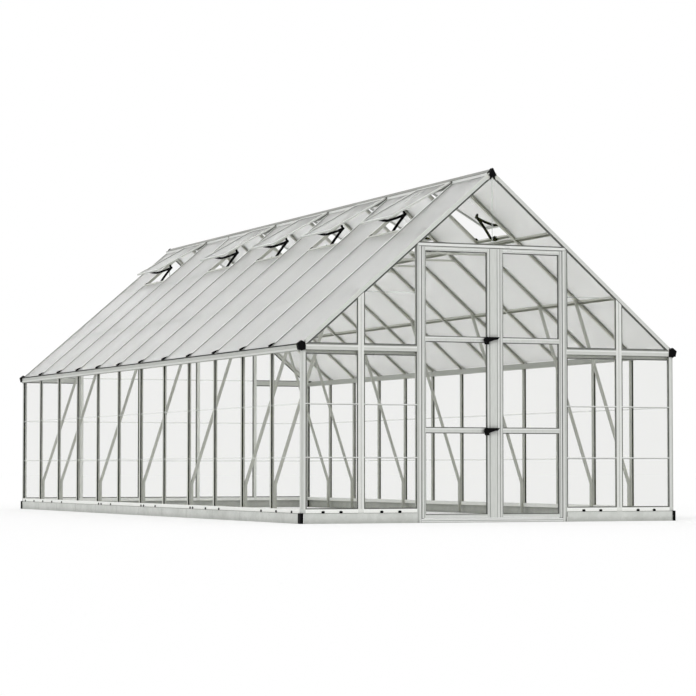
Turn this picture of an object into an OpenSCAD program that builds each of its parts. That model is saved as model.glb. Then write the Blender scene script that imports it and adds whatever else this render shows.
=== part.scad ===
// Aluminium and polycarbonate greenhouse with double doors and ridge-hung roof vents.
// Millimetres, Z up. X runs across the gables, Y along the house, and the doors face -Y.
// The origin is on the ground, under the middle of the house.

/* [Overall size] */
// Distance from one bay line to the next along the house
bay_pitch = 608; // [580:4:640]
// Number of glazed bays along the house
bay_count = 12; // [12:1:14]
// Width over the faces of the two side walls
house_w = 2970; // [2940:10:3000]
// Height of the roof surface at the side walls
eave_h = 1262; // [1240:2:1290]
// Height at which the two roof surfaces meet
ridge_h = 2542; // [2520:2:2570]

/* [Steel base] */
// Height of the base rails
base_h = 70; // [60:1:76]
// Width of the base rails' flanges
base_d = 24; // [20:1:28]
// How far the base stands out beyond the walls
base_out = 8; // [5:0.5:12]
// Thickness of the base sheet
base_t = 2; // [1.5:0.5:3]
// Number of bays that one length of base rail spans
base_span = 3; // [2:1:4]
// Joint left between two lengths of base rail
base_joint = 1; // [0.5:0.5:2]
// Length of the base corner caps' legs along the gables
base_cap_leg_x = 22; // [18:1:40]
// Length of the base corner caps' legs along the sides
base_cap_leg_y = 50; // [32:1:60]
// Thickness of the base corner caps
base_cap_t = 3; // [2:0.5:4]
// How far the base corner caps rise above the base rails
base_cap_rise = 4; // [3:1:12]

/* [Frame bars] */
// Width of the I-shaped bars of the walls and the roof
bar_w = 22; // [18:1:26]
// Depth of the I-shaped bars
bar_d = 26; // [22:1:28]
// Thickness of the bars' flanges
bar_flange = 2; // [1.5:0.5:3]
// Thickness of the bars' webs
bar_web = 3; // [2:0.5:4]
// Wall thickness of the box-shaped rails and posts
tube_t = 2; // [1.5:0.5:3]
// Depth of the slots that hold the panels in rails and posts
slot_d = 6; // [5:0.5:8]
// Height of the bottom rails
bottom_rail_h = 30; // [26:1:36]
// Side of the square corner posts
corner_post_w = 32; // [28:1:36]
// Depth of the gable posts, gable rails and gable rafters from front to back
gable_d = 30; // [26:1:34]
// Distance from the middle of the front gable to its outer posts
front_post_x = 1032; // [960:4:1100]
// Width of the front gable posts
front_post_w = 44; // [36:1:50]
// Distances from the middle of the back gable to its posts
back_post_xs = [300, 900]; // [200:10:1100]
// Width of the back gable posts
back_post_w = 26; // [24:1:36]
// Height of the gable rails at the eaves
gable_rail_h = 44; // [36:1:48]
// Drop of the thin lip under the front gable rails at the eaves
gable_lip = 23; // [14:1:28]
// Height of the gable rafters, square to the slope
gable_rafter_h = 30; // [26:1:34]

/* [Eaves and ridge] */
// Height of the gutters
gutter_h = 49; // [44:1:56]
// How far the gutters stand out beyond the walls
gutter_out = 14; // [10:1:18]
// How far the gutters reach in over the walls
gutter_in = 30; // [26:1:34]
// Thickness of the gutter sheet
gutter_t = 2; // [1.5:0.5:2.5]
// Distance from a side wall's face in to the ends of the rafters
rafter_end_in = 9; // [8:1:12]
// Half the thickness of the ridge beam's web box
ridge_half_w = 12; // [10:1:14]
// Depth of the ridge beam under the meeting line of the roof
ridge_depth = 60; // [50:1:80]
// Height of the ridge cover above the roof surface, square to the slope
ridge_cover_n = 10; // [8:0.5:12]
// Thickness of the ridge cover
ridge_cover_t = 7.5; // [5:0.5:8]

/* [Purlins, ties and braces] */
// Distance down the slope to the upper purlins
upper_purlin_s = 657; // [650:1:720]
// Distance down the slope to the middle purlins
mid_purlin_s = 1357; // [1250:1:1450]
// Width of the purlins along the slope
purlin_w = 25; // [20:1:30]
// Wall thickness of the purlin channels
purlin_t = 2; // [1.5:0.5:3]
// Height of the top of the collar ties
tie_top_h = 2048; // [1980:2:2100]
// Height of the collar ties' section
tie_h = 16; // [12:1:24]
// Thickness of the collar ties
tie_t = 6; // [3:1:10]
// Height at which the wall braces leave the wall posts
brace_bend_h = 270; // [200:10:400]
// Depth of the wall braces, from the wall inwards
brace_d = 22; // [16:1:26]
// Width of the wall braces along the house
brace_w = 16; // [12:1:20]
// Distance from the middle of the house to the braces' heads
brace_head_x = 985; // [900:5:1060]
// Height of the braces' feet above the ground
brace_foot_h = 6; // [4:1:12]

/* [Panels] */
// Thickness of the clear panels of the walls, gables and doors
panel_t = 3; // [2:0.5:4]
// Thickness of the twin-wall roof panels
roof_panel_t = 4; // [3:0.5:5]
// Clearance at the faces of a panel in its groove
panel_fit = 0.3; // [0.3:0.1:0.5]
// Clearance at the edges of a panel in its groove
panel_edge = 0.8; // [0.5:0.1:0.9]
// Heights of the lower and upper joints between the wall panels
joint_hs = [462, 838]; // [400:2:900]
// Height of the upper joint in the gables
high_joint_h = 1638; // [1600:2:1640]
// Height of the H-shaped strips in the panel joints
strip_h = 10; // [8:1:14]
// Thickness of the strips' walls
strip_t = 1.2; // [1:0.1:1.5]

/* [Black plastic caps] */
// Thickness of the end caps' front plates
cap_front = 8; // [5:1:12]
// Height of the tops of the ridge end caps above the ridge
cap_top_h = 18; // [14:1:22]
// Half the width of the ridge end caps
cap_half_w = 31; // [26:1:36]
// How far below the ridge the wings of the ridge end caps end
cap_wing_h = 38; // [32:1:42]
// How far below the ridge the legs of the ridge end caps end
cap_leg_h = 64; // [52:1:70]
// How far the legs of the ridge end caps stand out beside the ridge beam
cap_leg_out = 8; // [6:1:12]
// Depth of the eave corner caps behind the gable's face
eave_cap_d = 24; // [16:1:24]
// Width of the rafter clips along the house
clip_w = 20; // [14:1:22]
// Length of the rafter clips' tails up the rafters
clip_tail = 28; // [20:1:45]
// Height of the rafter clips above the rafters
clip_rise = 15; // [8:1:16]
// Length of the oval plugs in the bottom rails
plug_l = 25; // [18:1:32]
// Height of the oval plugs
plug_h = 18; // [12:1:20]
// Thickness of the oval plugs
plug_t = 3; // [2:0.5:4]
// Places of the plugs along a side, in bays from the front gable
plug_side_at = [0.3, 0.8, 1.3, 2.79, 3.29, 3.78, 3.88, 5.31, 5.81, 5.92, 7.31, 7.76, 7.88, 9.77,
  10.3, 10.8, 11.3, 11.8]; // [0.1:0.01:11.9]
// Places of the plugs in a gable bay, as shares of the bay
plug_gable_at = [0.33, 0.67]; // [0.1:0.01:0.9]

/* [Door frame] */
// Distance from the middle of the doorway to the outer sides of the jambs
jamb_x = 599; // [590:1:606]
// Width of the jambs
jamb_w = 33; // [28:1:40]
// Depth of the jambs, the header and the sill
door_frame_d = 40; // [36:1:50]
// Height of the top of the header
header_top_h = 1998; // [1970:1:2000]
// Height of the header's section
header_h = 22; // [18:1:28]
// Height of the sill
sill_h = 28; // [20:1:32]

/* [Doors] */
// Thickness of the door leaves
leaf_t = 25; // [22:1:28]
// How far the door leaves stand out in front of the jambs
leaf_proud = 3; // [2:0.5:5]
// Gap between a leaf and the jamb beside it
leaf_gap = 2.5; // [2:0.5:4]
// Gap above and below the leaves
leaf_clear = 4.5; // [4.5:0.5:8]
// Place of the seam between the leaves, from the middle of the doorway
seam_x = 58; // [50:1:70]
// Gap at the seam between the leaves
seam_gap = 3; // [2.5:0.5:5]
// Width of the hinge stiles
hinge_stile_w = 28.5; // [27:0.5:34]
// Width of the left leaf's broad closing stile
lock_stile_w = 101.5; // [90:0.5:110]
// Width of the right leaf's closing stile
close_stile_w = 19; // [16:1:26]
// Width of the raised band on the broad closing stile
band_w = 54; // [40:1:60]
// Distance from the seam to the raised band
band_in = 25; // [18:1:30]
// Height of the raised band above the stile
band_rise = 2.5; // [1:0.5:4]
// Height of the leaves' top rails
top_rail_h = 27; // [20:1:35]
// Height of the leaves' bottom rails
foot_rail_h = 24; // [20:1:40]
// Heights of the middles of the two crossbars
crossbar_hs = [659, 1311.5]; // [500:1:1500]
// Height of the crossbars' section
crossbar_h = 33; // [26:1:40]
// Radius of the pivot pins of the doors
pivot_r = 4; // [3:0.5:5]
// Length of a pivot pin inside the leaf
pivot_l = 20; // [14:1:30]
// Radius of the pivot pins' collars
collar_r = 10; // [8:0.5:11]
// Clearance around a turning pin
turn_fit = 0.05; // [0.02:0.01:0.08]
// Gap left between pieces that slide or turn past each other
gap = 0.3; // [0.3:0.1:0.5]

/* [Door handles and bolt] */
// Heights of the two lever handles
handle_hs = [657, 1312]; // [500:1:1500]
// Distance from the broad stile's edge to the handles' spindles, which cross the crossbars
handle_out = 14; // [12:1:20]
// Radius of the handles' hubs
hub_r = 21; // [16:0.5:22]
// Distance from the spindle to the lever's tip
lever_l = 104; // [80:1:106]
// Height of the lever's flat top above the spindle
lever_top = 20; // [12:0.5:20]
// Height of the lever near its slanting tip
lever_tip_h = 19; // [8:0.5:20]
// Thickness of the lever
lever_t = 12; // [8:1:16]
// Distance from the stile to the back of the lever
lever_off = 12; // [10:1:22]
// Radius of the handles' spindles
spindle_r = 4.5; // [3.5:0.5:5.5]
// Width of the lock plates
plate_w = 36; // [32:1:42]
// Height of the lock plates
plate_h = 46; // [40:1:60]
// Thickness of the lock plates
plate_t = 3; // [2:0.5:5]
// Radius of the drop bolt
bolt_r = 5; // [4:0.5:6]
// Length of the drop bolt's rod
bolt_l = 260; // [200:10:400]
// Height of the drop bolt's lower end when it is raised
bolt_up_h = 62; // [60:1:100]
// Radius of the drop bolt's knob
knob_r = 9; // [7:0.5:12]
// Height of each bolt guide
guide_h = 20; // [14:1:30]
// Height of the lower bolt guide above the end of the bolt
guide_up = 40; // [30:1:60]
// Distance from the back of the stile to the drop bolt's axis
bolt_off = 12; // [10:1:16]

/* [Roof vents] */
// Bays, counted from 0 at the doors, that have a vent on each slope
vent_bays = [1, 3, 5, 7, 10]; // [0:1:10]
// Opening angle at which the vents are drawn
vent_open = 11; // [6:1:20]
// Distance down the slope to the vents' hinge line
hinge_s = 40; // [38:1:44]
// Height of the vents' hinge line above the roof surface
hinge_n = 10; // [9:0.5:11]
// Radius of the vents' hinge beads
bead_r = 4.4; // [4:0.1:4.8]
// Wall of the hook in the ridge that holds a bead
hook_wall = 3.5; // [2.5:0.5:4]
// Clearance around a hinge bead
bead_fit = 0.08; // [0.05:0.01:0.1]
// Distance down the slope to the lower edge of a closed vent
sash_end_s = 610; // [608:1:620]
// Width of a vent's frame bars
sash_bar_w = 22; // [18:1:26]
// Thickness of the vents' frames
sash_t = 14; // [12:1:16]
// Gap between neighbouring bay lines and the sides of a vent
sash_side = 4; // [3:0.5:6]
// Distance down the slope to the bar under the foot of each vent
sill_s = 600; // [598:1:602]
// Width of that bar along the slope
sill_w = 25; // [20:1:28]
// Depth of that bar under the roof surface
vent_sill_d = 14; // [10:1:16]
// Distance down the slope to the lower pivots of the vent stays
stay_foot_s = 576; // [572:1:580]
// Depth of the lower pivots under the roof surface
stay_foot_n = -36; // [-39:1:-33]
// Distance down the slope to the upper pivots with the vent closed
stay_head_s = 528; // [524:0.5:530]
// Depth of the upper pivots under the roof surface with the vent closed
stay_head_n = -36; // [-40:0.5:-32]
// Length of the lower stay arms between their pivots
lower_stay_l = 192.5; // [190:0.5:195]
// Length of the upper stay arms between their pivots
upper_stay_l = 149; // [147:0.5:151]
// Half the width of the lower stay arms
lower_stay_r = 9; // [7:0.5:10]
// Half the width of the upper stay arms
upper_stay_r = 8; // [6:0.5:9]
// Length of the upper stay arms' tails beyond their lower pivots
stay_tail_l = 22; // [14:1:26]
// Thickness of the stay arms
stay_t = 8; // [5:0.5:9]
// Distance of the stays from the middle of their bay, towards the doors
stay_off = 25; // [15:1:40]
// Radius of the stays' pivot pins
stay_pin_r = 4; // [3:0.5:4.5]
// Thickness of the stays' brackets
stay_bracket_t = 6; // [4:1:8]
// Length of the brackets' feet along the bars that carry them
stay_foot_l = 46; // [36:1:60]
// Thickness of the brackets' feet
stay_foot_t = 3; // [2:0.5:5]

/* [Hidden] */
$fn = 48;
half_w = house_w / 2;
half_l = bay_count * bay_pitch / 2;
front_y = -half_l;
pitch_a = atan((ridge_h - eave_h) / half_w);
cosp = cos(pitch_a);
sinp = sin(pitch_a);
eps = 0.01;
far = 4000;
groove = panel_t + 2 * panel_fit;
roof_groove = roof_panel_t + 2 * panel_fit;
// A slot goes a clearance deeper than a panel reaches into it
reach = slot_d - panel_edge;
post_foot = base_h + gap;
rail_top = post_foot + bottom_rail_h;
gutter_h0 = eave_h - gutter_h;
wall_head = gutter_h0 - gap;
gable_rail_h0 = eave_h - gable_rail_h;
base_face = half_w + base_out;
header_h0 = header_top_h - header_h;
leaf_h0 = sill_h + leaf_clear;
leaf_h1 = header_h0 - leaf_clear;
leaf_front = front_y - leaf_proud;
leaf_back = leaf_front + leaf_t;
leaf_edge = jamb_x - jamb_w - leaf_gap;
pivot_x = leaf_edge - leaf_t / 2;
pivot_y = leaf_front + leaf_t / 2;
left_edge = seam_x - seam_gap / 2;
right_edge = seam_x + seam_gap / 2;
lock_x = left_edge - lock_stile_w;
band_x = left_edge - band_in - band_w;
spindle_x = lock_x - handle_out;
bolt_x = band_x + band_w / 2;
bolt_y = leaf_back + bolt_off;
hook_r = bead_r + bead_fit + hook_wall;
brace_lines = concat([1], [for (k = [2:2:bay_count - 2]) k], [bay_count - 1]);
sash_n0 = hinge_n - sash_t / 2;
hinge = [hinge_s, hinge_n];
foot = [stay_foot_s, stay_foot_n];
head = hinge + turned([stay_head_s, stay_head_n] - hinge, vent_open);
elbow = foot + lower_stay_l * direction(elbow_angle());
clip_out = gutter_out - 1;
// The rafters stand on the gutters' inner walls
gutter_back_h = under_z(half_w - gutter_in + gutter_t, bar_d) - gap - gutter_h0;
sides = [-1, 1];

// Geometry rules
function line_y(k) = front_y + k * bay_pitch;
function roof_z(x) = ridge_h - abs(x) * tan(pitch_a);
function under_z(x, depth) = roof_z(x) - depth / cosp;
function under_x(z, depth) = (ridge_h - depth / cosp - z) / tan(pitch_a);
function turned(v, a) = [v.x * cos(a) - v.y * sin(a), v.x * sin(a) + v.y * cos(a)];
function direction(a) = [cos(a), sin(a)];
function slope_point(s, n) = [s * cosp + n * sinp, n * cosp - s * sinp];
function is_vent(bay) = len([for (v = vent_bays) if (v == bay) v]) > 0;
function elbow_angle() = let (v = head - foot, d = norm(v))
    atan2(v.y, v.x) + acos((lower_stay_l ^ 2 + d ^ 2 - upper_stay_l ^ 2) / (2 * lower_stay_l * d));

// X of the children runs down the slope, Z out of the roof
module on_slope(side) {
  mirror([side < 0 ? 1 : 0, 0, 0]) translate([0, 0, ridge_h]) rotate([0, pitch_a, 0]) children();
}

module both_walls() {
  children();
  mirror([1, 0, 0]) children();
}

module both_gables() {
  children();
  mirror([0, 1, 0]) children();
}

// A flat outline in X and Z, drawn out along Y
module along_y(y0, y1) {
  translate([0, y1, 0]) rotate([90, 0, 0]) linear_extrude(y1 - y0) children();
}

// A flat outline in Y and Z, drawn out along X
module along_x(x0, x1) {
  translate([x0, 0, 0]) rotate([90, 0, 90]) linear_extrude(x1 - x0) children();
}

module above_rafters(depth) {
  for (side = sides) on_slope(side)
    translate([-far, -half_l - far, -depth]) cube([2 * far, 2 * (half_l + far), far]);
}

// I-shaped bar with its outer face on Y = 0
module i_bar() {
  translate([-bar_w / 2, -bar_flange]) square([bar_w, bar_flange]);
  translate([-bar_web / 2, -bar_d]) square([bar_web, bar_d]);
  translate([-bar_w / 2, -bar_d]) square([bar_w, bar_flange]);
}

// Box-shaped rail, X inwards from its outer face, with a panel slot on top and perhaps below
module rail_outline(d, h, top, below) {
  low = below ? slot_d + tube_t : tube_t;
  high = h - (top ? slot_d : 0) - tube_t;
  difference() {
    square([d, h]);
    if (top) translate([tube_t, h - slot_d]) square([groove, slot_d + eps]);
    if (below) translate([tube_t, -eps]) square([groove, slot_d + eps]);
    translate([tube_t, low]) square([d - 2 * tube_t, high - low]);
  }
}

// Box-shaped gable post, Y inwards from its outer face, with a panel slot on each side
module gable_post_outline(w) {
  difference() {
    translate([-w / 2, 0]) square([w, gable_d]);
    for (side = sides) translate([side * (w / 2 - slot_d / 2), tube_t + groove / 2])
      square([slot_d + eps, groove], center = true);
    translate([-w / 2 + slot_d + tube_t, tube_t])
      square([w - 2 * (slot_d + tube_t), gable_d - 2 * tube_t]);
  }
}

module gable_post(x, w) {
  difference() {
    translate([x, front_y, post_foot]) linear_extrude(ridge_h) gable_post_outline(w);
    above_rafters(gable_rafter_h + gap);
  }
}

module base_outline() {
  difference() {
    square([base_d, base_h]);
    translate([base_t, base_t]) square([base_d, base_h - 2 * base_t]);
  }
}

module base_rails() {
  joint = base_joint / 2;
  inner = base_face - base_d - gap;
  color("gainsboro") {
    both_walls() for (j = [0:ceil(bay_count / base_span) - 1]) {
      y0 = j == 0 ? front_y - base_out : line_y(j * base_span) + joint;
      last = (j + 1) * base_span >= bay_count;
      y1 = last ? half_l + base_out : line_y((j + 1) * base_span) - joint;
      translate([base_face, 0, 0]) mirror([1, 0, 0]) along_y(y0, y1) base_outline();
    }
    both_walls() translate([0, front_y - base_out, 0])
      along_x(jamb_x + gap, inner) base_outline();
    both_walls() translate([0, half_l + base_out, 0])
      along_x(joint, inner) mirror([1, 0]) base_outline();
  }
}

module corner_cap_outline(inner) {
  outer = base_cap_t + gap;
  translate([base_face + outer - base_cap_leg_x, front_y - base_out - outer]) difference() {
    square([base_cap_leg_x, base_cap_leg_y]);
    translate([-eps, inner]) square([base_cap_leg_x - inner + eps, base_cap_leg_y]);
  }
}

module plug() {
  half = (plug_l - plug_h) / 2;
  linear_extrude(plug_t) union() {
    square([2 * half, plug_h], center = true);
    for (side = sides) translate([side * half, 0]) circle(d = plug_h);
  }
}

module gable_plugs(x0, x1) {
  for (at = plug_gable_at) both_walls()
    translate([x0 + at * (x1 - x0), front_y - gap, post_foot + plug_h / 2 + gap])
      rotate([90, 0, 0]) plug();
}

module base_caps() {
  color("dimgray") {
    both_gables() both_walls() {
      linear_extrude(base_h + base_cap_rise) corner_cap_outline(base_cap_t);
      translate([0, 0, base_h + gap]) linear_extrude(base_cap_rise - gap)
        corner_cap_outline(base_cap_t + base_out - gap);
    }
    both_walls() for (at = plug_side_at) if (at < bay_count - 0.1)
      translate([half_w + gap, line_y(at), post_foot + plug_h / 2 + gap])
        rotate([90, 0, 90]) plug();
    gable_plugs(half_w - corner_post_w, front_post_x + front_post_w / 2);
    gable_plugs(front_post_x - front_post_w / 2, jamb_x);
    mirror([0, 1, 0]) {
      gable_plugs(half_w - corner_post_w, back_post_xs[1] + back_post_w / 2);
      gable_plugs(back_post_xs[1] - back_post_w / 2, back_post_xs[0] + back_post_w / 2);
    }
  }
}

// A rail across the front gable, from one X to the next
module gable_rail(x0, x1, z0, h, below) {
  translate([0, front_y, z0]) along_x(x0 + gap, x1 - gap) rail_outline(gable_d, h, true, below);
}

module bottom_rails() {
  rear = back_post_xs;
  half_post = back_post_w / 2;
  color("silver") {
    both_walls() translate([half_w, 0, post_foot]) mirror([1, 0, 0])
      along_y(front_y + corner_post_w + gap, half_l - corner_post_w - gap)
        rail_outline(bar_d, bottom_rail_h, true, false);
    both_walls() {
      gable_rail(jamb_x, front_post_x - front_post_w / 2, post_foot, bottom_rail_h, false);
      gable_rail(front_post_x + front_post_w / 2, half_w - corner_post_w, post_foot,
        bottom_rail_h, false);
    }
    mirror([0, 1, 0]) {
      gable_rail(half_post - rear[0], rear[0] - half_post, post_foot, bottom_rail_h, false);
      both_walls() {
        gable_rail(rear[0] + half_post, rear[1] - half_post, post_foot, bottom_rail_h, false);
        gable_rail(rear[1] + half_post, half_w - corner_post_w, post_foot, bottom_rail_h, false);
      }
    }
  }
}

module corner_posts() {
  w = corner_post_w;
  inset = slot_d + tube_t;
  color("silver") both_gables() both_walls()
    translate([half_w - w, front_y, post_foot]) linear_extrude(wall_head - post_foot - gap)
      difference() {
        square(w);
        translate([-eps, tube_t]) square([slot_d + eps, groove]);
        translate([w - tube_t - groove, w - slot_d]) square([groove, slot_d + eps]);
        translate([inset, inset]) square(w - 2 * inset);
      }
}

module wall_posts() {
  color("silver") both_walls() for (k = [1:bay_count - 1])
    translate([half_w, line_y(k), rail_top + gap]) rotate(-90)
      linear_extrude(wall_head - rail_top - gap) i_bar();
}

module gable_posts() {
  color("silver") {
    both_walls() gable_post(front_post_x, front_post_w);
    mirror([0, 1, 0]) both_walls() for (x = back_post_xs) gable_post(x, back_post_w);
  }
}

module eave_rail(x0, x1, lip) {
  gable_rail(x0, x1, gable_rail_h0, gable_rail_h, true);
  if (lip) translate([0, front_y, gable_rail_h0 - gable_lip]) along_x(x0 + gap, x1 - gap)
    translate([gable_d - tube_t, 0]) square([tube_t, gable_lip + tube_t]);
}

module gable_rails() {
  color("silver") difference() {
    both_walls() {
      eave_rail(jamb_x, front_post_x - front_post_w / 2, true);
      eave_rail(front_post_x + front_post_w / 2, half_w - corner_post_w, true);
      mirror([0, 1, 0]) eave_rail(back_post_xs[1] + back_post_w / 2, half_w - corner_post_w, false);
    }
    above_rafters(gable_rafter_h + gap);
  }
}

// Gutter and wall plate in one outline, X inwards from the wall's face
module gutter_outline() {
  t = gutter_t;
  translate([-gutter_out, 0]) square([t, gutter_h]);
  translate([-gutter_out, 0]) square([gutter_out + t, t]);
  square([t, slot_d + t]);
  translate([0, slot_d]) square([groove + 2 * t, t]);
  translate([t + groove, 0]) square([t, slot_d + t]);
  translate([t + groove, 0]) square([gutter_in - t - groove, t]);
  translate([gutter_in - t, 0]) square([t, gutter_back_h]);
}

module gutters() {
  color("silver") both_walls() translate([half_w, 0, gutter_h0]) mirror([1, 0, 0])
    along_y(front_y + eave_cap_d + gap, half_l - eave_cap_d - gap) gutter_outline();
}

module eave_corner_cap() {
  in = gutter_in + gap;
  out = gutter_out + 18;
  over = [[half_w - in, eave_h - 16], [half_w - 26, eave_h + 4], [half_w, eave_h + 20],
    [half_w + out, eave_h - 4], [half_w + out - 10, gutter_h0 + 3]];
  // The plate in front of the gable, with the points of its lower edge
  along_y(front_y - cap_front, front_y - gap) polygon(concat(over, [
    [half_w + 8, gutter_h0 + 3], [half_w, gutter_h0 - 5], [half_w - 10, gutter_h0 + 3],
    [half_w - 26, gutter_h0 + 3], [half_w - in, gutter_h0 + 8]]));
  // The body, above the corner post and the gable's panel
  along_y(front_y - 1, front_y + eave_cap_d) polygon(concat(over, [
    [half_w - 14, gutter_h0 + 3], [half_w - 20, gable_rail_h0 + slot_d],
    [half_w - in, gable_rail_h0 + slot_d]]));
}

module rafter_clip() {
  tail_x = half_w - rafter_end_in - clip_tail;
  top_x = half_w - rafter_end_in - 2;
  along_y(-clip_w / 2, clip_w / 2) polygon([
    [tail_x, roof_z(tail_x) + gap / cosp], [top_x, roof_z(top_x) + clip_rise],
    [half_w + clip_out, eave_h + 12], [half_w + clip_out, eave_h + gap],
    [half_w - 1, eave_h + gap + 1], [half_w - 1, roof_z(half_w - 1) + 1]]);
}

module ridge_end_cap() {
  leg_x = ridge_half_w + cap_leg_out;
  far = 2 * cap_half_w;
  roof = gap / cosp - ridge_h;
  right = [[5, cap_top_h - 3], [cap_half_w, -cap_wing_h], [leg_x - 2, -cap_wing_h - 3],
    [leg_x, -cap_leg_h]];
  left = [for (i = [3:-1:0]) [-right[i].x, right[i].y]];
  translate([0, 0, ridge_h]) {
    along_y(front_y - cap_front, front_y - gap)
      polygon(concat([[0, cap_top_h]], right, [[0, 20 - cap_leg_h]], left));
    along_y(front_y - cap_front, front_y + gable_d) difference() {
      polygon(concat([[0, cap_top_h]], right, left));
      polygon([[0, roof_z(0) + roof], [far, roof_z(far) + roof], [far, -ridge_h],
        [-far, -ridge_h], [-far, roof_z(far) + roof]]);
    }
  }
}

module roof_caps() {
  color("dimgray") {
    both_gables() {
      both_walls() eave_corner_cap();
      ridge_end_cap();
    }
    both_walls() for (k = [1:bay_count - 1]) translate([0, line_y(k), 0]) rafter_clip();
  }
}

// Gable rafter with slots for the roof panel and for the gable panels under it
module gable_rafter_outline() {
  difference() {
    translate([0, -gable_rafter_h]) square([gable_d, gable_rafter_h]);
    translate([gable_d - slot_d, -bar_flange - roof_groove]) square([slot_d + eps, roof_groove]);
    translate([tube_t, -gable_rafter_h - eps]) square([groove, slot_d + eps]);
    translate([tube_t, -gable_rafter_h + slot_d + tube_t])
      square([gable_d - slot_d - 2 * tube_t, gable_rafter_h - slot_d - 2 * tube_t]);
  }
}

module rafters() {
  run = half_w / cosp + 2 * bar_d;
  color("silver") {
    both_walls() difference() {
      for (k = [1:bay_count - 1]) on_slope(1) translate([0, line_y(k), 0])
        along_x(-2 * bar_d, run) i_bar();
      translate([-far + ridge_half_w + gap, -half_l, 0]) cube([far, 2 * half_l, 2 * ridge_h]);
      translate([half_w - rafter_end_in, -half_l, 0]) cube([far, 2 * half_l, 2 * ridge_h]);
    }
    both_gables() both_walls() difference() {
      on_slope(1) translate([0, front_y, 0]) along_x(-2 * bar_d, run) gable_rafter_outline();
      translate([gap / 2 - far, -half_l - far, 0]) cube([far, 2 * half_l, 2 * ridge_h]);
      translate([half_w - gutter_in - 2 * gap, -half_l - far, 0]) cube([far, 2 * half_l, 2 * ridge_h]);
    }
  }
}

// Chevron cover, web box and the two hooks that hold the vents' hinge beads
module ridge_outline() {
  top = slope_point(hinge_s - bead_r - 1, ridge_cover_n);
  low = slope_point(hinge_s - bead_r - 1, ridge_cover_n - ridge_cover_t);
  bore = bead_r + bead_fit;
  polygon([[0, ridge_cover_n / cosp], top, low, [0, (ridge_cover_n - ridge_cover_t) / cosp],
    [-low.x, low.y], [-top.x, top.y]]);
  difference() {
    translate([-ridge_half_w, -ridge_depth]) square([2 * ridge_half_w, ridge_depth + 2]);
    translate([-ridge_half_w + tube_t, -ridge_depth + tube_t])
      square([2 * (ridge_half_w - tube_t), ridge_depth - 4 * tube_t]);
  }
  for (side = [0, 1]) mirror([side, 0]) rotate(-pitch_a) translate(hinge) difference() {
    circle(hook_r);
    circle(bore);
    polygon(concat([[0, 0]], [for (a = [-23, 16, 56]) 2 * hook_r * direction(a)]));
  }
}

module ridge_beam() {
  color("silver") translate([0, 0, ridge_h])
    along_y(front_y + gable_d + gap, half_l - gable_d - gap) ridge_outline();
}

// The clear run between the bars of one bay
module bay_spans(inset, gable_inset) {
  for (k = [0:bay_count - 1]) {
    $y0 = line_y(k) + (k == 0 ? gable_inset : inset);
    $y1 = line_y(k + 1) - (k == bay_count - 1 ? gable_inset : inset);
    $bay = k;
    children();
  }
}

module purlins() {
  n1 = -bar_flange - roof_groove - gap;
  h = bar_d + n1;
  color("silver") for (side = sides) on_slope(side)
    bay_spans(bar_w / 2 + gap, gable_d + gap) for (s = [upper_purlin_s, mid_purlin_s])
      along_y($y0, $y1) translate([s - purlin_w / 2, -bar_d]) difference() {
        square([purlin_w, h]);
        translate([purlin_t, -eps]) square([purlin_w - 2 * purlin_t, h - purlin_t]);
      }
}

module collar_ties() {
  color("silver") for (k = [1:bay_count - 1]) difference() {
    translate([-half_w / 2, line_y(k) - tie_t / 2, tie_top_h - tie_h]) cube([half_w, tie_t, tie_h]);
    above_rafters(bar_d + gap);
  }
}

module wall_braces() {
  x0 = half_w - bar_d - gap;
  x1 = brace_head_x + brace_d / 2;
  top_z = roof_z(x1);
  color("silver") both_walls() difference() {
    for (k = brace_lines) along_y(line_y(k) - brace_w / 2, line_y(k) + brace_w / 2) polygon([
      [x0, brace_foot_h], [x0, brace_bend_h], [x1, top_z], [x1 - brace_d, top_z],
      [x0 - brace_d, brace_bend_h - 4], [x0 - brace_d, brace_foot_h]]);
    above_rafters(bar_d + gap);
  }
}

// Bands of wall between the joints, as pairs of heights
function wall_bands(z0, z1) = let (half = strip_t / 2 + panel_edge)
    [[z0, joint_hs[0] - half], [joint_hs[0] + half, joint_hs[1] - half], [joint_hs[1] + half, z1]];

module wall_panels() {
  inset = bar_web / 2 + panel_edge;
  z0 = rail_top - reach;
  z1 = gutter_h0 + reach;
  x = half_w - tube_t - panel_fit - panel_t;
  color("aliceblue", 0.35) both_walls() bay_spans(inset, corner_post_w - reach)
    for (band = wall_bands(z0, z1)) translate([x, $y0, band[0]])
      cube([panel_t, $y1 - $y0, band[1] - band[0]]);
}

module roof_panels() {
  inset = bar_web / 2 + panel_edge;
  n0 = -bar_flange - panel_fit - roof_panel_t;
  s_top = (ridge_half_w + gap - n0 * sinp) / cosp + gap;
  s_end = (half_w - 3) / cosp - 6;
  color("lightgray", 0.8) for (side = sides) on_slope(side)
    bay_spans(inset, gable_d - reach) {
      s0 = is_vent($bay) ? sill_s + sill_w + panel_edge : s_top;
      translate([s0, $y0, n0]) cube([s_end - s0, $y1 - $y0, roof_panel_t]);
    }
}

// Panels of a gable bay between two X values and two heights, cut off under the gable rafter
module gable_bay(x0, x1, bands) {
  depth = gable_rafter_h - reach;
  y = front_y + tube_t + panel_fit;
  for (band = bands) {
    z1 = min(band[1], under_z(x0, depth));
    if (z1 > band[0]) along_y(y, y + panel_t) intersection() {
      translate([x0, band[0]]) square([x1 - x0, band[1] - band[0]]);
      polygon([[x0, 0], [x1, 0], [x1, under_z(x1, depth)], [x0, under_z(x0, depth)]]);
    }
  }
}

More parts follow.
